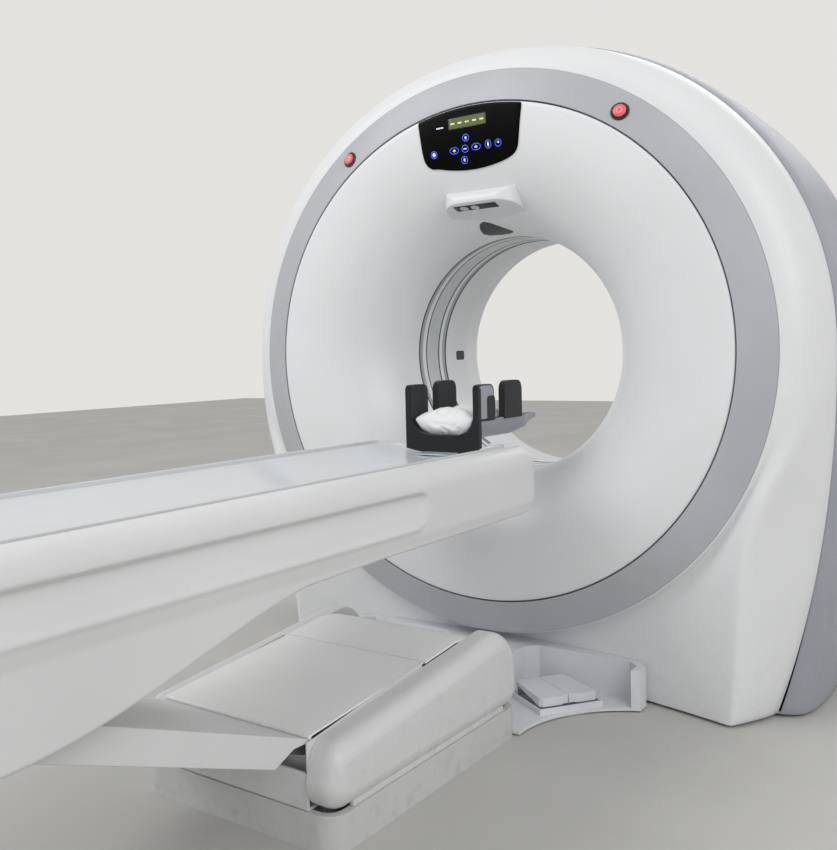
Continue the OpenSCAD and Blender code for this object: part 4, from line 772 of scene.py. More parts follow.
def box_line(x, z, half_w, half_h, corner, steps=5):
    """A rounded rectangle round a point."""
    line = rounded(block(x - half_w, x + half_w, z - half_h, z + half_h), corner, steps)
    return refined(np.vstack((line, line[:1])), len(line) * 3 + 1)[:-1]


def smooth_line(points, count, passes):
    """A closed line through points, made even and soft."""
    points = np.asarray(points, float)
    return softened(refined(np.vstack((points, points[:1])), count + 1)[:-1], 0, passes, True)


# The housings.
def oval(angle, half, top, low):
    """Radius of the housing's outline: a superellipse above the isocentre, an ellipse below."""
    c, s = np.abs(np.cos(angle)), np.sin(angle)
    upper = ((c / half) ** OVAL + (np.abs(s) / top) ** OVAL) ** (-1 / OVAL)
    return np.where(s >= 0, upper, 1 / np.sqrt((c / half) ** 2 + (s / low) ** 2))


def sunk_half(half, low):
    """Half width of an outline at its closing line under the floor."""
    return half * math.sqrt(1 - (SUNK / low) ** 2)


def arch(half, top, low):
    """The outline from the right floor corner over the top to the left one, as (x, z) points."""
    foot = math.atan2(SUNK, sunk_half(half, low))
    angle = np.concatenate((
        np.linspace(-foot, 0, 90, endpoint=False),
        np.linspace(0, math.pi, 200, endpoint=False),
        np.linspace(math.pi, math.pi + foot, 91),
    ))
    return oval(angle, half, top, low)[:, None] * np.stack((np.cos(angle), np.sin(angle)), -1)


def closing_line(half):
    """The straight line under the floor that closes an outline."""
    x = np.linspace(-half, half, 72)[1:-1]
    return np.stack((x, np.full_like(x, -SUNK)), -1)


def at(flat, y):
    """Flat (x, z from the isocentre) points at a depth."""
    return np.stack((flat[..., 0], np.broadcast_to(y, flat.shape[:-1]), flat[..., 1] + ISO_Z), -1)


def front_start(c):
    """The first three points of a lower path: the rim, the drum's edge and the back of its cove."""
    unit = c / np.linalg.norm(c, axis=1, keepdims=True)
    turn = np.degrees(np.arctan2(c[:, 1], np.abs(c[:, 0])))
    cove = 0.098 * smooth((np.abs(turn) - 8) / 100)
    edge_y = RIM_Y + 0.005
    return [at(unit * RIM_R, RIM_Y), at(unit * DRUM_R, edge_y), at(unit * DRUM_R, edge_y + cove)]


def front_paths():
    """Lines over the front housing from the trim ring out and back to the seam, column by column.

    Over the top each line is a quarter of an ellipse. Below, it runs back under the drum, down to
    the front face's crease, and round the corner to the seam. The two mix smoothly.
    """
    o = arch(HALF_W, SHELL_TOP, WHITE_LOW)
    r = np.linalg.norm(o, axis=1)
    unit = o / r[:, None]
    phi = np.linspace(0, math.pi / 2, 11)
    reach = mix(RIM_R, r[:, None], np.sin(phi))
    y = mix(RIM_Y, SEAM_Y, 1 - np.cos(phi))
    upper = np.stack([at(unit * reach[:, i : i + 1], y[i]) for i in range(len(phi))], 1)
    z = o[:, 1]
    drum_reach, lean, power = DRUM_R + 0.026, 0.06, 24
    round_x = np.sqrt(np.clip(drum_reach**2 - z**2, 0, None))
    line_x = FOOT_X + lean * (z + ISO_Z)
    crease = (line_x**power + round_x**power) ** (1 / power) * np.sign(o[:, 0])
    corner_y = mix(FRONT_Y + SETBACK, FOOT_Y, np.clip((-z - 0.3) / 0.62, 0, 1))
    flat = np.stack((crease, z), -1)
    corner = at(flat, corner_y)
    start = front_start(flat)
    outer = at(o, SEAM_Y)
    run = [(0, 0), (0.13, 0.04), (0.3, 0.16), (0.66, 0.5), (0.94, 0.8), (1, 1)]
    lower = start + [mix(start[2], corner, t) for t in (0.35, 0.7)]
    for out, back in run:
        step = mix(corner, outer, out)
        step[:, 1] = mix(corner_y, SEAM_Y, back)
        lower.append(step)
    lower = np.stack(lower, 1)
    change_z, change_span = -0.06, 0.33
    share = smooth((change_z - z) / change_span)[:, None, None]
    return np.concatenate((mix(upper, lower, share), front_base()))


def front_base():
    """The front wall's lines between the drum and the floor, curved back at the middle."""
    half = sunk_half(HALF_W, WHITE_LOW)
    o = closing_line(half)
    x = o[:, 0] * FOOT_X / half
    wall_y = mix(FOOT_MID_Y, FOOT_Y, (x / FOOT_X) ** 2)
    start = front_start(np.stack((x, np.full_like(x, FLOOR_GAP - ISO_Z)), -1))
    floor_edge = np.stack((x, wall_y, np.full_like(x, FLOOR_GAP)), -1)
    seam = at(o, SEAM_Y)
    sunk = np.stack((x, wall_y, np.full_like(x, ISO_Z - SUNK)), -1)
    path = start + [mix(start[2], floor_edge, t) for t in (0.35, 0.7, 1)]
    return np.stack(path + [mix(sunk, seam, t) for t in (0, 0.25, 0.5, 0.75, 1)], 1)


def walled(outer, first_back, last_back):
    """A closed wall: lines on the outside, then back along the inside, one skin nearer the axis."""
    q = outer * np.array([1, 0, 1]) - np.array([0, 0, ISO_Z])
    unit = q / np.linalg.norm(q, axis=-1, keepdims=True)
    inner = outer - unit * SKIN
    inner[..., 1] += np.linspace(first_back, last_back, outer.shape[1])
    return np.concatenate((outer, inner[:, ::-1]), 1)


def on_floor(grid):
    """Nothing reaches below the gap over the floor."""
    grid[..., 2] = np.maximum(grid[..., 2], FLOOR_GAP)
    return grid


def front_housing_grid(softness, seam):
    """The white housing as a closed wall, soft at its creases."""
    paths = refined(front_paths(), 71, axis=1)
    rim, edge = paths[:, :1].copy(), paths[:, -1:].copy()
    paths = softened(paths, 1, softness)
    middle = softened(paths, 0, 14, wrap=True)
    paths = np.concatenate((rim, middle[:, 1:-1], edge), 1)
    paths[:, -1, 1] -= seam / 2
    return walled(on_floor(paths), SKIN, 0)


REAR_LINE = np.array([
    # distance back from the seam, share of the swell, pull-in
    (0.0003, 0.1, 0), (0.014, 0.38, 0), (0.032, 0.62, 0), (0.080, 0.84, 0), (0.180, 1, 0),
    (0.330, 1, 0), (0.450, 0.85, 0), (0.520, 0.5, 0.008), (0.558, 0.2, 0.026),
    (0.576, 0, 0.052), (0.580, 0, 0.078),
])


def rear_housing_grid(seam):
    """The grey housing: outlines that swell behind the seam and roll in to the rear face."""
    line = softened(refined(REAR_LINE, 91), 0, 6)
    depth_share = (REAR_Y - SEAM_Y) / REAR_LINE[-1, 0]
    rings = []
    for back, share, pull in line:
        half = HALF_W + share * SWELL - pull
        top = SHELL_TOP + share * (SWELL - 0.004) - pull
        low = mix(WHITE_LOW, GREY_LOW, share)
        flat = np.concatenate((arch(half, top, low), closing_line(sunk_half(half, low))))
        rings.append(at(flat, SEAM_Y + back * depth_share))
    last = rings[-1][:, [0, 2]] - np.array([0, ISO_Z])
    flat = last / np.linalg.norm(last, axis=1, keepdims=True) * REAR_HOLE_R
    rings.append(at(flat, REAR_Y + 0.0008))
    paths = np.stack(rings, 1)
    paths[:, 0, 1] += seam / 2
    return walled(on_floor(paths), 0, -SKIN)


def seam_shade_grid(seam):
    """A dark strip just inside the seam between the housings: painted shade in the gap."""
    half, top = HALF_W - 0.0035, SHELL_TOP - 0.0035
    flat = np.concatenate((arch(half, top, WHITE_LOW), closing_line(sunk_half(half, WHITE_LOW))))
    inner = flat * 0.9975
    corners = ((flat, -seam), (flat, seam), (inner, seam), (inner, -seam))
    return on_floor(np.stack([at(line, SEAM_Y + back) for line, back in corners], 1))


# Outlines and plates.
def evenly(outline, count):
    """A closed outline cut into steps of equal length."""
    closed = np.vstack((outline, outline[:1]))
    run = np.append(0, np.cumsum(np.linalg.norm(np.diff(closed, axis=0), axis=1)))
    place = np.linspace(0, run[-1], count, endpoint=False)
    return np.stack([np.interp(place, run, closed[:, i]) for i in range(closed.shape[1])], -1)


def block(left, right, low, high):
    """The four corners of a rectangle."""
    return ((left, low), (right, low), (right, high), (left, high))


def slab(outline, low, high, axis):
    """The two ends of a plate: a closed outline across an axis, at two places along it."""
    flat = np.asarray(outline, float)
    grid = np.empty((2, len(flat), 3))
    grid[..., [i for i in range(3) if i != axis]] = flat
    grid[0, :, axis], grid[1, :, axis] = low, high
    return grid


def both_sides(outline, inner, outer):
    """A plate across the table's width at its right side, and its twin at the left."""
    return [slab(outline, inner, outer, 0), slab(outline, -outer, -inner, 0)]


# The table top and the cradle.
def cradle_floor(x):
    """Height of the cradle's underside: a parabola that rises to the rims."""
    return 0.628 + 0.062 * (x / CRADLE_HALF) ** 2


def under_cradle(x, y):
    """Height that the top cover may reach: just under the cradle in its slot, else the top."""
    in_slot = (np.abs(x) < SLOT_HALF) & (y > SLOT_FOOT)
    return np.where(in_slot, cradle_floor(x) - 0.005, TOP_Z)


def skirt_line(y):
    """Height of the top cover's lower edge: level at the nose, deep at the foot end."""
    level, deepest, foot_end = 0.521, 0.4, TOP_FOOT + 0.06
    t = np.clip((SIDE_TURN - y) / 0.642, 0, 1)
    deep = mix(level, deepest, 0.55 * smooth(t) + 0.45 * np.sin(t * math.pi / 2))
    near_y = (SIDE_TURN, -1.208, -0.592, -0.492, TOP_HEAD)
    near = np.interp(y, near_y, (level, 0.527, 0.53, 0.536, 0.552))
    foot = np.interp(y, (TOP_FOOT, foot_end), (0.45, deepest))
    return np.where(y > SIDE_TURN, near, np.where(y < foot_end, foot, deep))


def shell_inset(x, y, z, top, low):
    """How far the cover lies inside its plan.

    The shoulder is a superellipse of 55 by 48 mm below the top. The lower part leans in by a few
    millimetres and its edge is rounded. Along each side a channel falls fast from its upper edge,
    then rises slowly to a soft ridge.
    """
    share = np.clip(1 - (top - z) / SHOULDER_H, 0, 1)
    inset = SHOULDER_W * (1 - (1 - share**2.15) ** (1 / 2.15))
    lean, edge_r = 0.005, 0.007
    channel_top, channel_h, channel_depth, ridge_rise = 0.647, 0.074, 0.0165, 0.0045
    inset += lean * smooth((0.562 - z) / 0.03)
    edge = np.clip(1 - (z - low) / edge_r, 0, 1)
    inset += edge_r * (1 - np.sqrt(1 - edge**2))
    across = (channel_top - z) / channel_h
    end = -1.035 - 0.026 * np.clip(np.abs(across * 2 - 1), 0, 1) ** 4
    along = smooth((end - y) / 0.03) * smooth((y - TOP_FOOT - 0.04) / 0.03)
    along *= smooth((np.abs(x) - 0.24) / 0.02)
    deepest = 0.16
    channel = channel_depth * smooth(across / deepest)
    channel *= 1 - smooth((across - deepest) / (1 - deepest))
    ridge = ridge_rise * np.exp(-(((across - 1.02) / 0.1) ** 2))
    return inset + along * (channel - ridge)


def shell_grid(wall=0.004):
    """The top cover: its plan carried down a profile outside, and back up 4 mm further in."""
    corners = (
        (TOP_HALF, TOP_FOOT), (TOP_HALF, TOP_HEAD), (-TOP_HALF, TOP_HEAD), (-TOP_HALF, TOP_FOOT),
    )
    plan = evenly(rounded(corners, (0.05, 0.13, 0.13, 0.05), 24), 760)
    along = np.roll(plan, -1, 0) - np.roll(plan, 1, 0)
    out = np.stack((along[:, 1], -along[:, 0]), -1) / np.linalg.norm(along, axis=1, keepdims=True)
    x, y = plan.T
    top, low = np.minimum(under_cradle(x, y), TOP_Z), skirt_line(y)
    outside = 76
    down = np.linspace(0, 1, outside)[:, None] ** 1.15
    back = np.linspace(1, 0, 26)[:, None]
    z = np.concatenate((top - down * (top - low), top - wall - back * (top - wall - low)))
    inset = shell_inset(x, y, z, np.concatenate((top + 0 * down, top - wall + 0 * back)), low)
    inset[outside:] = np.minimum(inset[outside:] + wall, SHOULDER_W)
    points = plan - out * inset[..., None]
    under = under_cradle(points[..., 0], points[..., 1])
    under[outside:] -= wall
    return np.concatenate((points, np.minimum(z, under)[..., None]), -1)


def cradle_grid():
    """The patient board: a hollow top with a beaded rim over a parabola, along the table."""
    half = np.concatenate((np.linspace(0, 0.186, 40), np.linspace(0.1865, CRADLE_HALF, 34)))
    x = np.concatenate((-half[:0:-1], half))
    trough_z, rim_z, bead_rise, groove_depth = 0.664, 0.692, 0.0055, 0.0028
    away = np.abs(x)
    top = mix(trough_z, rim_z, np.clip(away / 0.201, 0, 1) ** 2)
    top += bead_rise * smooth((away - 0.1965) / 0.003) * smooth((0.2081 - away) / 0.0016)
    top -= groove_depth * np.exp(-(((away - 0.1952) / 0.0018) ** 2))
    low = np.linspace(0.2075, -0.2075, 41)
    loop = np.stack((np.append(x, low), np.append(top, cradle_floor(low))), -1)
    bend = np.sin(np.linspace(0, math.pi / 2, 16))
    turn = np.cos(np.arcsin(bend))
    foot_y, head_y, foot_r, head_r = -2.685, -0.535, 0.02, 0.06
    y = np.concatenate((foot_y + foot_r * (1 - turn), head_y - head_r * (1 - bend)))
    width = CRADLE_HALF - np.concatenate((foot_r * (1 - bend), head_r * (1 - turn)))
    grid = np.empty((len(y), len(loop), 3))
    grid[..., 0] = loop[:, 0] * (width / CRADLE_HALF)[:, None]
    grid[..., 1] = y[:, None]
    grid[..., 2] = loop[:, 1]
    return grid


# The head holder.
TROUGH_X = (0, 0.032, 0.0536, 0.0768, 0.09, 0.096)
TROUGH_Z = (0.714, 0.714, 0.717, 0.7252, 0.7428, 0.76)


def holder_face(high=0.8495):
    """Outline of the holder's near end: the U of the foam, its fingers and the foot below."""
    x = np.linspace(-0.112, 0.112, 25)
    board = np.stack((x, 0.6652 + 0.028 * (x / 0.201) ** 2), -1)
    side = ((0.1127, 0.7), (0.1127, high - 0.012), (0.1085, high - 0.002), (0.1035, high),
            (0.098, high - 0.004), (0.096, high - 0.012))
    inner = np.stack((TROUGH_X, TROUGH_Z), -1)[::-1]
    right = np.concatenate((side, inner))
    return np.concatenate((board, right, (right * (-1, 1))[::-1]))


def finger_line(near, far, low, high, radius):
    """Side outline of a finger with a round top."""
    return rounded(block(near, far, low, high), (1e-4, 1e-4, radius, radius), 10)


def pillow_grid():
    """The folded pillow: it fills the foam's trough below and has a creased, nearly flat top.

    Its ends close to a seam: the height shrinks there as a quarter circle.
    """
    rows, columns, half = 44, 49, 0.0925
    t = np.linspace(0, 1, rows)
    near_y, length, crest_z, seam_z = -0.531, 0.236, 0.774, 0.752
    y = near_y + length * t
    close = np.sqrt(np.clip(1 - np.clip(1 - np.minimum(t, 1 - t) / 0.1, 0, 1) ** 2, 0.002, 1))
    x = half * np.sin(np.linspace(-math.pi / 2, math.pi / 2, columns))
    side = np.abs(x) / half
    bottom = np.interp(np.abs(x), TROUGH_X, TROUGH_Z) + 0.0015
    over, under = np.meshgrid(y, x, indexing="ij")
    crease = 0.003 * np.sin(75 * over + 52 * under) + 0.0022 * np.sin(120 * under - 47 * over + 1)
    crest = crest_z - 0.012 * side**3 + crease * (1 - side**4)
    seam = seam_z + 0.004 * side
    upper = mix(seam, crest, close[:, None])
    lower = mix(seam, bottom, close[:, None])
    z = np.concatenate((upper, lower[:, -2:0:-1]), 1)
    x = np.append(x, x[-2:0:-1])
    return np.stack(np.broadcast_arrays(x, y[:, None], z), -1)


# Operators, one for each group of pieces.
class CT_OT_finishes(Operator):
    """Makes the finishes and gives every CAD node its own"""

    bl_idname = "ct.finishes"
    bl_label = "Finishes"

    def execute(self, context):
        make_finishes(context.scene.scanner_colours)
        return {"FINISHED"}


class CT_OT_camera(Operator):
    """Adds the camera at the photograph's viewing angle"""

    bl_idname = "ct.camera"
    bl_label = "Camera"

    def execute(self, context):
        turn, pitch, roll = 0.669, 0.031, -0.026
        level = Vector((-math.sin(turn), math.cos(turn), 0))
        ahead = level * math.cos(pitch) - Vector((0, 0, math.sin(pitch)))
        right = ahead.cross(Vector((0, 0, 1))).normalized()
        up = right.cross(ahead)
        turned = math.cos(roll) * right + math.sin(roll) * up
        upright = -math.sin(roll) * right + math.cos(roll) * up
        data = bpy.data.cameras.new("camera")
        data.lens, data.sensor_width, data.sensor_fit = 41.34, 36, "AUTO"
        data.shift_x, data.shift_y = 0.1220, -0.0455
        data.clip_end = 60
        camera = bpy.data.objects.new("camera", data)
        context.scene.collection.objects.link(camera)
        matrix = Matrix((turned, upright, -ahead)).transposed().to_4x4()
        matrix.translation = Vector((1.3547, -2.7928, 0.9353))
        camera.matrix_world = matrix
        context.scene.camera = camera
        return {"FINISHED"}


class CT_OT_stage(Operator):
    """Adds the floor, the world and the soft lights"""

    bl_idname = "ct.stage"
    bl_label = "Stage"

    def execute(self, context):
        floor = Shader("floor")
        cloud = floor.noise(1.5, 3).ramp(0.3, 0.7)
        grain = floor.bump(floor.noise(200, 2), 0.0001)
        tone = floor.mixed(cloud, shade("#B9B8B5"), shade("#C1C0BD"))
        floor.finish(Base_Color=tone, Roughness=0.75, Normal=grain)
        side = np.linspace(-14, 14, 9)
        x, y = np.meshgrid(side, side, indexing="ij")
        grid = np.stack((x, y, np.zeros_like(x)), -1)
        mesh = bpy.data.meshes.new("floor")
        mesh.from_pydata(grid.reshape(-1, 3), [], faces_of(x.shape, False, False, 0))
        if mesh.polygons[0].normal.z < 0:
            mesh.flip_normals()
        mesh.materials.append(floor.material)
        linked("floor", mesh)
        world = bpy.data.worlds.new("studio")
        context.scene.world = world
        self.backdrop(Shader("studio", world))
        lamps = [
            ("key", (-2.6, -3.4, 3.9), (0, -0.6, 0.8), 3.2, 83),
            ("fill", (3.6, -2.6, 2.8), (0, -0.4, 0.8), 3.0, 52),
            ("back", (0.5, 3.4, 3.4), (0, 0, 1.0), 2.6, 29),
        ]
        for name, place, target, size, power in lamps:
            data = bpy.data.lights.new(name, "AREA")
            data.shape, data.size, data.energy = "DISK", size, power
            lamp = bpy.data.objects.new(name, data)
            context.scene.collection.objects.link(lamp)
            lamp.location = place
            aim = Vector(target) - Vector(place)
            lamp.rotation_euler = aim.to_track_quat("-Z", "Y").to_euler()
        context.scene.view_settings.view_transform = "Standard"
        return {"FINISHED"}

    def backdrop(self, sky):
        """A pale wall for the camera, reflections and glass, and a light for the rest."""
        light, wall = (
            sky.node("ShaderNodeBackground", None, {"Color": shade(code), "Strength": strength})
            for code, strength in (("#F2F2F1", 0.78), ("#E4E2DF", 1.0))
        )
        seen = 0.0
        for name in ("Is Camera Ray", "Is Glossy Ray", "Is Transmission Ray"):
            ray = sky.node("ShaderNodeLightPath", out=name)
            seen = sky.node("ShaderNodeMath", {"operation": "MAXIMUM"}, {0: seen, 1: ray})
        mixed = sky.node("ShaderNodeMixShader", None, {0: seen, 1: light, 2: wall})
        sky.node("ShaderNodeOutputWorld", None, {"Surface": mixed})


class CT_OT_disc(Operator):
    """Adds the front disc with its flare and the trim ring round it"""

    bl_idname = "ct.disc"
    bl_label = "Front disc and trim ring"

    def execute(self, context):
        share = np.linspace(0, 1, 64)
        r = mix(MOUTH_R, DISC_R - 0.0025, share**1.5)
        face = np.stack((r, flare_y(r)), -1)[::-1]
        lip = np.array([
            (DISC_R - SKIN, FRONT_Y + 0.022), (DISC_R, FRONT_Y + 0.022),
            (DISC_R, FRONT_Y + 0.0035), (DISC_R - 0.0006, FRONT_Y + 0.0014),
        ])
        start, end = FRONT_Y + FLARE_DEPTH + 0.012, -0.0855
        wall = BORE_R + SKIN
        bore = np.array([(BORE_R, start), (BORE_R, end), (wall, end), (wall, start)])
        back = face[::-1][::3] + np.stack((SKIN * (1 - share[::3]), np.full(22, SKIN)), -1)
        back = back[back[:, 0] < DISC_R - SKIN]
        profile = np.vstack((lip, face, bore, back, [(DISC_R - SKIN, FRONT_Y + SKIN)]))
        disc = moulding("front_disc", turned_rings(profile), wrap_rows=True)
        dress(disc, "base", "cover_white", "front_cover", finish="front_disc")
        r = np.linspace(TRIM_IN + 0.001, RING_R - 0.002, 24)
        top = np.stack((r, trim_y(r)), -1)
        outer = np.array([(-0.0006, -0.0002), (0, 0.0015), (0, 0.014), (-0.005, 0.014)])
        outer += (RING_R, FRONT_Y + SETBACK)
        under = top[::-1][2:-2] + np.array([0, 0.005])
        flange = np.array([
            (TRIM_IN + 0.005, FRONT_Y + 0.0223), (DISC_R - 0.012, FRONT_Y + 0.0223),
            (DISC_R - 0.012, FRONT_Y + 0.0263), (TRIM_IN + 0.003, FRONT_Y + 0.0263),
            (TRIM_IN, FRONT_Y + 0.0223), (TRIM_IN, FRONT_Y + 0.001),
        ])
        profile = np.vstack((top, outer, under, flange))
        ring = moulding("trim_band", turned_rings(profile), wrap_rows=True)
        for side in (-1, 1):
            pierced(ring.data, *stop_place(side), STOP_HOLE_R)
        dress(ring, "base", "trim_grey", "trim_ring")
        return {"FINISHED"}


class CT_OT_housings(Operator):
    """Adds the white front housing, the grey rear housing and the seam between them"""

    bl_idname = "ct.housings"
    bl_label = "Housings"

    def execute(self, context):
        sizes = context.scene.scanner_sizes
        grid = front_housing_grid(sizes.softness, sizes.seam_gap)
        white = moulding("white_housing", grid, wrap_rows=True)
        dress(white, "base", "cover_white", "front_housing", sharp=50)
        grey = moulding("grey_housing", rear_housing_grid(sizes.seam_gap), wrap_rows=True)
        dress(grey, "base", "cover_grey", "rear_housing", sharp=50)
        # A dark strip in the seam's gap: painted shade.
        strip = moulding("housing_seam", seam_shade_grid(sizes.seam_gap), wrap_rows=True)
        dress(strip, "base", "gasket_rubber", finish="seam_dark", sharp=30)
        return {"FINISHED"}


class CT_OT_bore(Operator):
    """Adds the bore's liners, gaskets and window, and the rear cover"""

    bl_idname = "ct.bore"
    bl_label = "Bore"

    def execute(self, context):
        for node, name in (
            ("rear_cover", "rear_disc"), ("bore_liners", "liner_rings"),
            ("scan_window", "window_ring"), ("side_laser_windows", "side_windows"),
        ):
            dressed_node(node, name, bevel=0.0006, sharp=30)
        wide = ((-0.0848, -0.0615), (0.0615, 0.0848))
        dark = ((-0.0852, -0.0775), (-0.0430, -0.0354), (0.0354, 0.0430), (0.0775, 0.0852))
        for name, edges, sink, finish, nodes in (
            ("gasket_bands", wide, 0.0004, "gasket_grey", ()),
            ("gasket_lips", dark, 0.0, "gasket_dark", ("bore_gaskets",)),
        ):
            rings = moulding(name, *(self.ring(*edge, sink) for edge in edges), wrap_rows=True)
            dress(rings, "base", "gasket_rubber", *nodes, finish=finish)
        return {"FINISHED"}

    def ring(self, low, high, sink):
        """A flat ring in the bore with rounded edges."""
        inner = BORE_R + sink
        corners = [(inner, low), (inner, high), (BORE_R + 0.0038, high), (BORE_R + 0.0038, low)]
        return turned_rings(rounded(corners, 0.0009, 4), 192)


class CT_OT_panel(Operator):
    """Adds the control panel, its display, lights and keys"""

    bl_idname = "ct.panel"
    bl_label = "Control panel"

    def execute(self, context):
        turn = np.linspace(0.2295, -0.2485, 30)
        arc = 0.6955 * np.stack((np.sin(turn), np.cos(turn)), -1)
        left = (
            (-0.1655, 0.630), (-0.1610, 0.585), (-0.1560, 0.560), (-0.1470, 0.5455),
            (-0.1330, 0.5370),
        )
        low = np.linspace(-0.115, 0.100, 24)
        foot = np.stack((low, 0.5225 + 1.15 * (low + 0.006) ** 2), -1)
        right = (
            (0.1180, 0.5420), (0.1310, 0.5500), (0.1400, 0.5640), (0.1450, 0.5900),
            (0.1520, 0.6350),
        )
        line = smooth_line(np.vstack((arc, left, foot, right)), 360, 2)
        panel = moulding("control_face", patch(line, 0.0002, 0.003, 0.0012, 14))
        dress(panel, "base", "panel_black", "control_panel")
        glass = box_line(-0.010, 0.654, 0.058, 0.0145, 0.003)
        show = moulding("display_glass", patch(glass, 0.0029, 0.0034, 0.0004))
        dress(show, "base", "lcd_glass", "panel_display")
        border = box_line(-0.010, 0.654, 0.0605, 0.017, 0.004)
        rim = moulding("display_rim", ring_patch(border, 0.0022, 0.0028, 0.0036))
        dress(rim, "base", "panel_black", finish="black_plastic")
        dashes = [
            patch(box_line(x, 0.6535, 0.0062, 0.0024, 0.001), 0.0033, 0.0036, 0.0003, 4)
            for x in (-0.056, -0.033, -0.010, 0.013, 0.036)
        ]
        dress(moulding("display_marks", *dashes), "base", "lcd_glass", finish="lcd_segments")
        bar = box_line(-0.098, 0.6480, 0.0115, 0.0019, 0.0015)
        lamp = moulding("status_light", patch(bar, 0.0029, 0.0034, 0.0004, 5))
        dress(lamp, "base", "lcd_glass", finish="key_white")
        self.keys()
        return {"FINISHED"}

    def keys(self):
        """Rings round the keys and a plain sign in each: arrows, bars and dots."""
        low, high = 0.0028, 0.0036
        round_key, wide_key, tall_key = (0.0105, 0.0105), (0.0148, 0.0095), (0.009975, 0.01176)
        up = np.array([
            (-0.0045, -0.001), (0, 0.005), (0.0045, -0.001), (0.0016, -0.001),
            (0.0016, -0.005), (-0.0016, -0.005), (-0.0016, -0.001),
        ])
        across = up[:, ::-1]
        keys = (
            ((-0.017, 0.610), round_key, up),
            ((-0.022, 0.5805), round_key, box_line(0, 0, 0.0052, 0.0016, 0.0008)),
            ((-0.028, 0.551), round_key, -up),
            ((-0.057, 0.5795), wide_key, -across),
            ((0.013, 0.5815), wide_key, across),
            ((0.051, 0.5825), tall_key, oval_line(0, 0, 0.0026, 0.0066, 20)),
            ((0.082, 0.5815), round_key, across * 0.8 + (0.001, 0.002)),
            ((-0.123, 0.577), round_key, oval_line(0, 0, 0.0052, 0.0058, 20)),
        )
        bands, signs = [], []
        for place, span, sign in keys:
            bands.append(ring_patch(oval_line(*place, *span), 0.0019, low, high))
            line = refined(np.vstack((sign, sign[:1])) + place, 43)[:-1]
            signs.append(patch(line, low, high, 0.0003, 4))
        dress(moulding("key_rings", *bands), "base", "key_blue", "panel_keys")
        dress(moulding("key_signs", *signs), "base", "key_blue", finish="key_white")


class CT_OT_sensor(Operator):
    """Adds the sensor housing over the bore, its window and lenses, and the laser window"""

    bl_idname = "ct.sensor"
    bl_label = "Sensor housing"

    def execute(self, context):
        side = np.array([
            (-0.195, 0.380), (-0.285, 0.412), (-0.323, 0.425), (-0.330, 0.430), (-0.3305, 0.438),
            (-0.326, 0.451), (-0.314, 0.462), (-0.296, 0.468), (-0.195, 0.474),
        ])
        line = softened(refined(side, 97), 0, 6)
        straight, turn_r = 0.060, 0.058  # half of the brow's straight front, and its corners
        x = (straight + turn_r) * np.sin(np.linspace(-math.pi / 2, math.pi / 2, 81))
        over = np.clip(np.abs(x) - straight, 0, turn_r)
        plan = FRONT_Y + 0.015 + turn_r - np.sqrt(np.clip(turn_r**2 - over**2, 0, None))
        y = np.maximum(line[None, :, 0], plan[:, None])
        grid = np.stack((
            np.broadcast_to(x[:, None], y.shape), y,
            np.broadcast_to(line[None, :, 1] + ISO_Z, y.shape),
        ), -1)
        brow = moulding("sensor_brow", softened(softened(grid, 0, 6), 1, 3))
        dress(brow, "base", "cover_white", "sensor_housing", sharp=45)
        slope = math.atan2(14, 41)
        down = np.array((0, -math.sin(slope), -math.cos(slope)))
        ahead = np.array((0, -math.cos(slope), math.sin(slope)))
        lens = np.array([
            (0, 0), (0.011, 0), (0.0125, 0.0008), (0.0125, 0.0014), (0.010, 0.0022), (0, 0.0030),
        ])
        places = (np.array((x, SENSOR_Y, SENSOR_Z)) + down * 0.0009 for x in (-0.047, -0.012))
        lenses = [turned_on(lens, place, down, 40) for place in places]
        dress(moulding("sensor_lenses", *lenses), "base", "dark_window", finish="lens_pale")
        flat = box_line(0, 0, 0.067, 0.0145, 0.003)
        share, lift = np.transpose([
            (1, -0.004), (1, 0.0008), (0.985, 0.0013), (0.5, 0.0013), (0, 0.0013),
        ])[..., None, None]
        pad = share * (flat[:, :1] * np.array((1, 0, 0)) + flat[:, 1:] * ahead) + lift * down
        glass = moulding("sensor_glass", pad + np.array((-0.010, SENSOR_Y, SENSOR_Z)))
        dress(glass, "base", "dark_window", "sensor_window")
        drop = smooth_line([
            (-0.058, 0.357), (-0.056, 0.370), (-0.048, 0.3815), (-0.034, 0.3865), (-0.018, 0.3830),
            (0.006, 0.3715), (0.038, 0.3555), (0.022, 0.3530), (-0.010, 0.3525), (-0.045, 0.3530),
        ], 120, 5)
        laser = moulding("laser_glass", patch(drop, 0.0002, 0.0016, 0.0006))
        dress(laser, "base", "dark_window", "laser_window", finish="smoked_window")
        return {"FINISHED"}


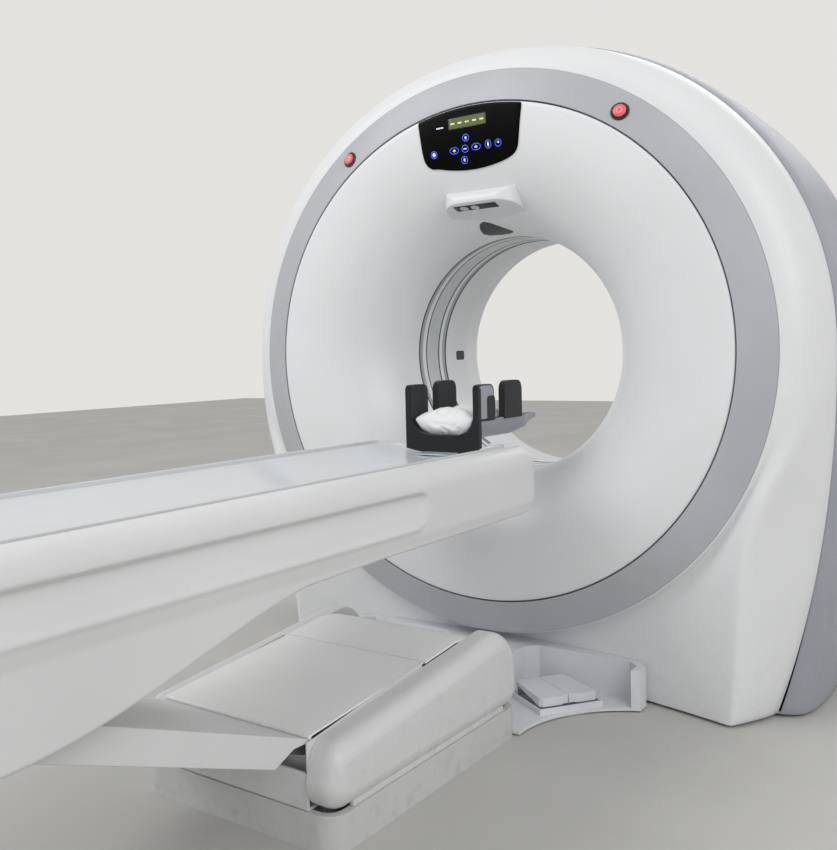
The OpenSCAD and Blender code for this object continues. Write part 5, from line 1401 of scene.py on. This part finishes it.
class CT_OT_stops(Operator):
    """Adds the stop buttons and their bezels on the trim ring"""

    bl_idname = "ct.stops"
    bl_label = "Stop buttons"

    def execute(self, context):
        dome = np.array([
            (0, -0.004), (0.0155, -0.004), (0.0155, 0.0025), (0.0168, 0.0035), (0.0170, 0.0060),
            (0.0164, 0.0082), (0.0145, 0.0097), (0.0100, 0.0108), (0.0050, 0.0113), (0, 0.0114),
        ])
        collar = rounded(np.array([
            (0.0178, -0.006), (0.0208, -0.006), (0.0208, 0.0002), (0.0240, 0.0002),
            (0.0236, 0.0026), (0.0205, 0.0031), (0.0178, 0.0028),
        ]), 0.0006, 4)
        mark = rounded(np.array([
            (0.0062, 0.0108), (0.0078, 0.0106), (0.0078, 0.0114), (0.0062, 0.0117),
        ]), 0.0003, 3)
        collars = []
        for side, word in ((-1, "left"), (1, "right")):
            place = stop_place(side)
            body = f"stop_{word}"
            button = moulding(f"{body}_dome", turned_on(dome, *place))
            dress(button, body, "stop_red", f"stop_button_{word}", sharp=60)
            sign = moulding(f"{body}_mark", turned_on(mark, *place), wrap_rows=True)
            dress(sign, body, "stop_red", finish="stop_mark")
            collars.append(turned_on(collar, *place))
        bezels = moulding("stop_collars", *collars, wrap_rows=True)
        dress(bezels, "base", "black_plastic", "stop_bezels")
        return {"FINISHED"}


class CT_OT_tray(Operator):
    """Adds the foot tray and its pedals"""

    bl_idname = "ct.tray"
    bl_label = "Foot tray and pedals"

    def execute(self, context):
        edge = context.scene.scanner_sizes.edge_round
        dressed_node("pedal_tray", "foot_tray", bevel=edge * 1.5, segments=3)
        for node, name in (("pedal_up", "raise_pedal"), ("pedal_down", "lower_pedal")):
            pedal = dressed_node(node, name, bevel=edge, segments=3)
            self.deepened(pedal.data, 0.041, 0.0135)
        return {"FINISHED"}

    def deepened(self, mesh, level, depth):
        """Moves a pedal's underside down at its free end, away from the pin, to a wedge."""
        place = points_of(mesh)
        x, y = place[:, 0] - PEDAL_PIN[0], place[:, 1] - PEDAL_PIN[1]
        free_end = y * math.cos(PEDAL_TURN) < x * math.sin(PEDAL_TURN)
        place[(np.abs(place[:, 2] - level) < 0.0006) & free_end, 2] -= depth
        mesh.vertices.foreach_set("co", place.ravel())


class CT_OT_table(Operator):
    """Adds the table top's covers and the cradle"""

    bl_idname = "ct.table"
    bl_label = "Table top"

    def execute(self, context):
        edge = context.scene.scanner_sizes.edge_round
        cover = moulding("top_cover", shell_grid(), wrap_rows=True)
        dress(cover, "table_top", "table_white", "table_shell", sharp=50)
        board = moulding("patient_board", cradle_grid())
        dress(board, "patient_cradle", "cradle_white", "cradle", bevel=edge * 0.5, segments=3)
        # Dark strips just under the rims of the cradle's slot: painted shadow in the gaps beside
        # the cradle.
        right = slab(block(0.2087, 0.2129, 0.689, 0.6928), -2.68, -0.62, 1)
        slot_shadows = moulding("slot_lips", right, right * (-1, 1, 1))
        dress(slot_shadows, "table_top", "gasket_rubber", finish="seam_dark")
        return {"FINISHED"}


class CT_OT_base(Operator):
    """Adds the table base: plinth, band, side pods, top covers, flap and lift arm"""

    bl_idname = "ct.base"
    bl_label = "Table base"

    def execute(self, context):
        edge = context.scene.scanner_sizes.edge_round
        # The base lid and the flap take a lighter copy of the table's colour: painted light where
        # the table's shade falls.
        for node, name, finish in (
            ("table_plinth", "plinth_cover", None), ("base_band", "lower_band", None),
            ("side_pods", "pod_covers", None), ("base_top_cover", "base_lid", "table_light"),
            ("lift_flap", "arm_flap", "table_light"), ("lift_arm_cover", "arm_cover", None),
        ):
            dressed_node(node, name, bevel=edge * 0.8, finish=finish)
        # The flap's lip takes the same lighter copy: painted light.
        bead = oval_line(-1.3705, 0.2115, 0.005, 0.005, 24)
        lip = moulding("flap_lip", slab(bead, -0.1965, 0.1965, 0))
        dress(lip, "flap", "table_white", finish="table_light")
        strip = ((-1.386, 0.15), (-0.975, 0.15), (-0.975, 0.252), (-1.386, 0.205))
        dress(moulding("pod_seals", *both_sides(strip, 0.1981, 0.1999)), "base", "table_white")
        apron = block(-0.1895, 0.1895, 0.12, 0.1905)
        screen = moulding("arm_apron", slab(apron, -1.3475, -1.3445, 1))
        dress(screen, "arm", "table_white", bevel=0.0005)
        return {"FINISHED"}


class CT_OT_head(Operator):
    """Adds the head holder, its foam and its pillow"""

    bl_idname = "ct.head"
    bl_label = "Head holder"

    def execute(self, context):
        edge = {"bevel": 0.0015, "segments": 3}
        shell = dressed_node("head_holder", "holder_shell", finish="holder_grey", **edge)
        self.keep_above(shell.data, HOLDER_FLOOR)
        self.pointed(shell.data)
        dressed_node("holder_foam", "holder_lining", **edge)
        face = moulding("holder_front", slab(holder_face(), -0.5385, -0.521, 1))
        dress(face, "patient_cradle", "foam_black", **edge)
        tongue = rounded(block(-0.05, 0.05, -0.6, -0.522), 0.02)
        plate = moulding("holder_tongue", slab(tongue, 0.6662, 0.6695, 2))
        dress(plate, "patient_cradle", "cover_grey", finish="lens_pale", **edge)
        pads = []
        for near, far, low, high, inner, outer in (
            (-0.3925, -0.2895, 0.752, 0.8555, 0.0955, 0.114),
            (-0.5365, -0.4475, 0.752, 0.8495, 0.0955, 0.1115),
            (-0.488, -0.447, 0.754, 0.818, 0.11, 0.114),
        ):
            line = finger_line(near, far, low, high, min(0.03, (far - near) * 0.3))
            pads += both_sides(line, inner, outer)
        dress(moulding("finger_pads", *pads), "patient_cradle", "foam_black", bevel=0.001)
        pillow = moulding("soft_pillow", pillow_grid())
        self.swell(context, pillow, context.scene.scanner_sizes.pillow_swell)
        fine = pillow.modifiers.new("fine", "SUBSURF")
        fine.levels = fine.render_levels = 1
        dress(pillow, "patient_cradle", "cotton_white", "head_pillow", sharp=80)
        return {"FINISHED"}

    def pointed(self, mesh):
        """Draws the holder's far end in to a raised tip, by a smooth step along it."""
        tip_z, tip_y = 0.748, 0.025
        with opened(mesh) as work:
            for y in np.linspace(HOLDER_FAR, 0, 12):
                cut_across(work, (0, y, 0), (0, 1, 0))
            for vert in work.verts:
                share = float(smooth((vert.co.y - HOLDER_FAR) / (tip_y - HOLDER_FAR)))
                vert.co.x *= 1 - 0.62 * share
                vert.co.z += (tip_z - vert.co.z) * 0.6 * share

    def keep_above(self, mesh, level):
        """Cuts a mesh off below a height and closes the cut."""
        with opened(mesh) as work:
            cut_across(work, (0, 0, level), (0, 0, 1), clear_inner=True)
            bmesh.ops.holes_fill(work, edges=work.edges, sides=0)
            bmesh.ops.recalc_face_normals(work, faces=work.faces)

    def swell(self, context, pillow, cap):
        """Cloth under pressure on a fine remesh, with each point's move capped."""
        last_frame = 20
        remesh = pillow.modifiers.new("remesh", "REMESH")
        remesh.mode = "VOXEL"
        remesh.voxel_size = 0.005
        self.settle(pillow)
        start = points_of(pillow.data)
        cloth = pillow.modifiers.new("cloth", "CLOTH")
        cloth.settings.use_pressure = True
        cloth.settings.uniform_pressure_force = 4
        cloth.settings.effector_weights.gravity = 0
        cloth.point_cache.frame_end = last_frame
        for step in range(1, last_frame + 1):
            context.scene.frame_set(step)
        self.settle(pillow)
        context.scene.frame_set(1)
        move = points_of(pillow.data) - start
        size = np.linalg.norm(move, axis=1, keepdims=True)
        place = start + move * np.minimum(1, cap / np.maximum(size, 1e-9))
        pillow.data.vertices.foreach_set("co", place.ravel().astype(np.float32))

    def settle(self, obj):
        """Replaces an object's mesh by the mesh that its modifiers give, and removes them."""
        graph = bpy.context.evaluated_depsgraph_get()
        mesh = bpy.data.meshes.new_from_object(obj.evaluated_get(graph))
        obj.modifiers.clear()
        obj.data = mesh


STEPS = (
    CT_OT_finishes, CT_OT_camera, CT_OT_stage, CT_OT_disc, CT_OT_housings, CT_OT_bore,
    CT_OT_panel, CT_OT_sensor, CT_OT_stops, CT_OT_tray, CT_OT_table, CT_OT_base, CT_OT_head,
)


class CT_PT_panel(Panel):
    """Lists the steps that build the scanner's finish"""

    bl_idname = "CT_PT_panel"
    bl_label = "CT Scanner"
    bl_space_type = "VIEW_3D"
    bl_region_type = "UI"
    bl_category = "CT Scanner"

    def draw(self, context):
        column = self.layout.column()
        for group in (context.scene.scanner_sizes, context.scene.scanner_colours):
            for key in group.__annotations__:
                column.prop(group, key)
        for step in STEPS:
            column.operator(step.bl_idname)


CLASSES = (ScannerSizes, ScannerColours, *STEPS, CT_PT_panel)


def register():
    """Registers the classes and the scene's settings."""
    for cls in CLASSES:
        bpy.utils.register_class(cls)
    bpy.types.Scene.scanner_sizes = PointerProperty(type=ScannerSizes)
    bpy.types.Scene.scanner_colours = PointerProperty(type=ScannerColours)


def unregister():
    """Removes the scene's settings and the classes."""
    del bpy.types.Scene.scanner_colours
    del bpy.types.Scene.scanner_sizes
    for cls in reversed(CLASSES):
        bpy.utils.unregister_class(cls)


def main():
    """Builds every piece."""
    register()
    for step in STEPS:
        group, name = step.bl_idname.split(".")
        getattr(getattr(bpy.ops, group), name)()


if __name__ == "__main__":
    main()
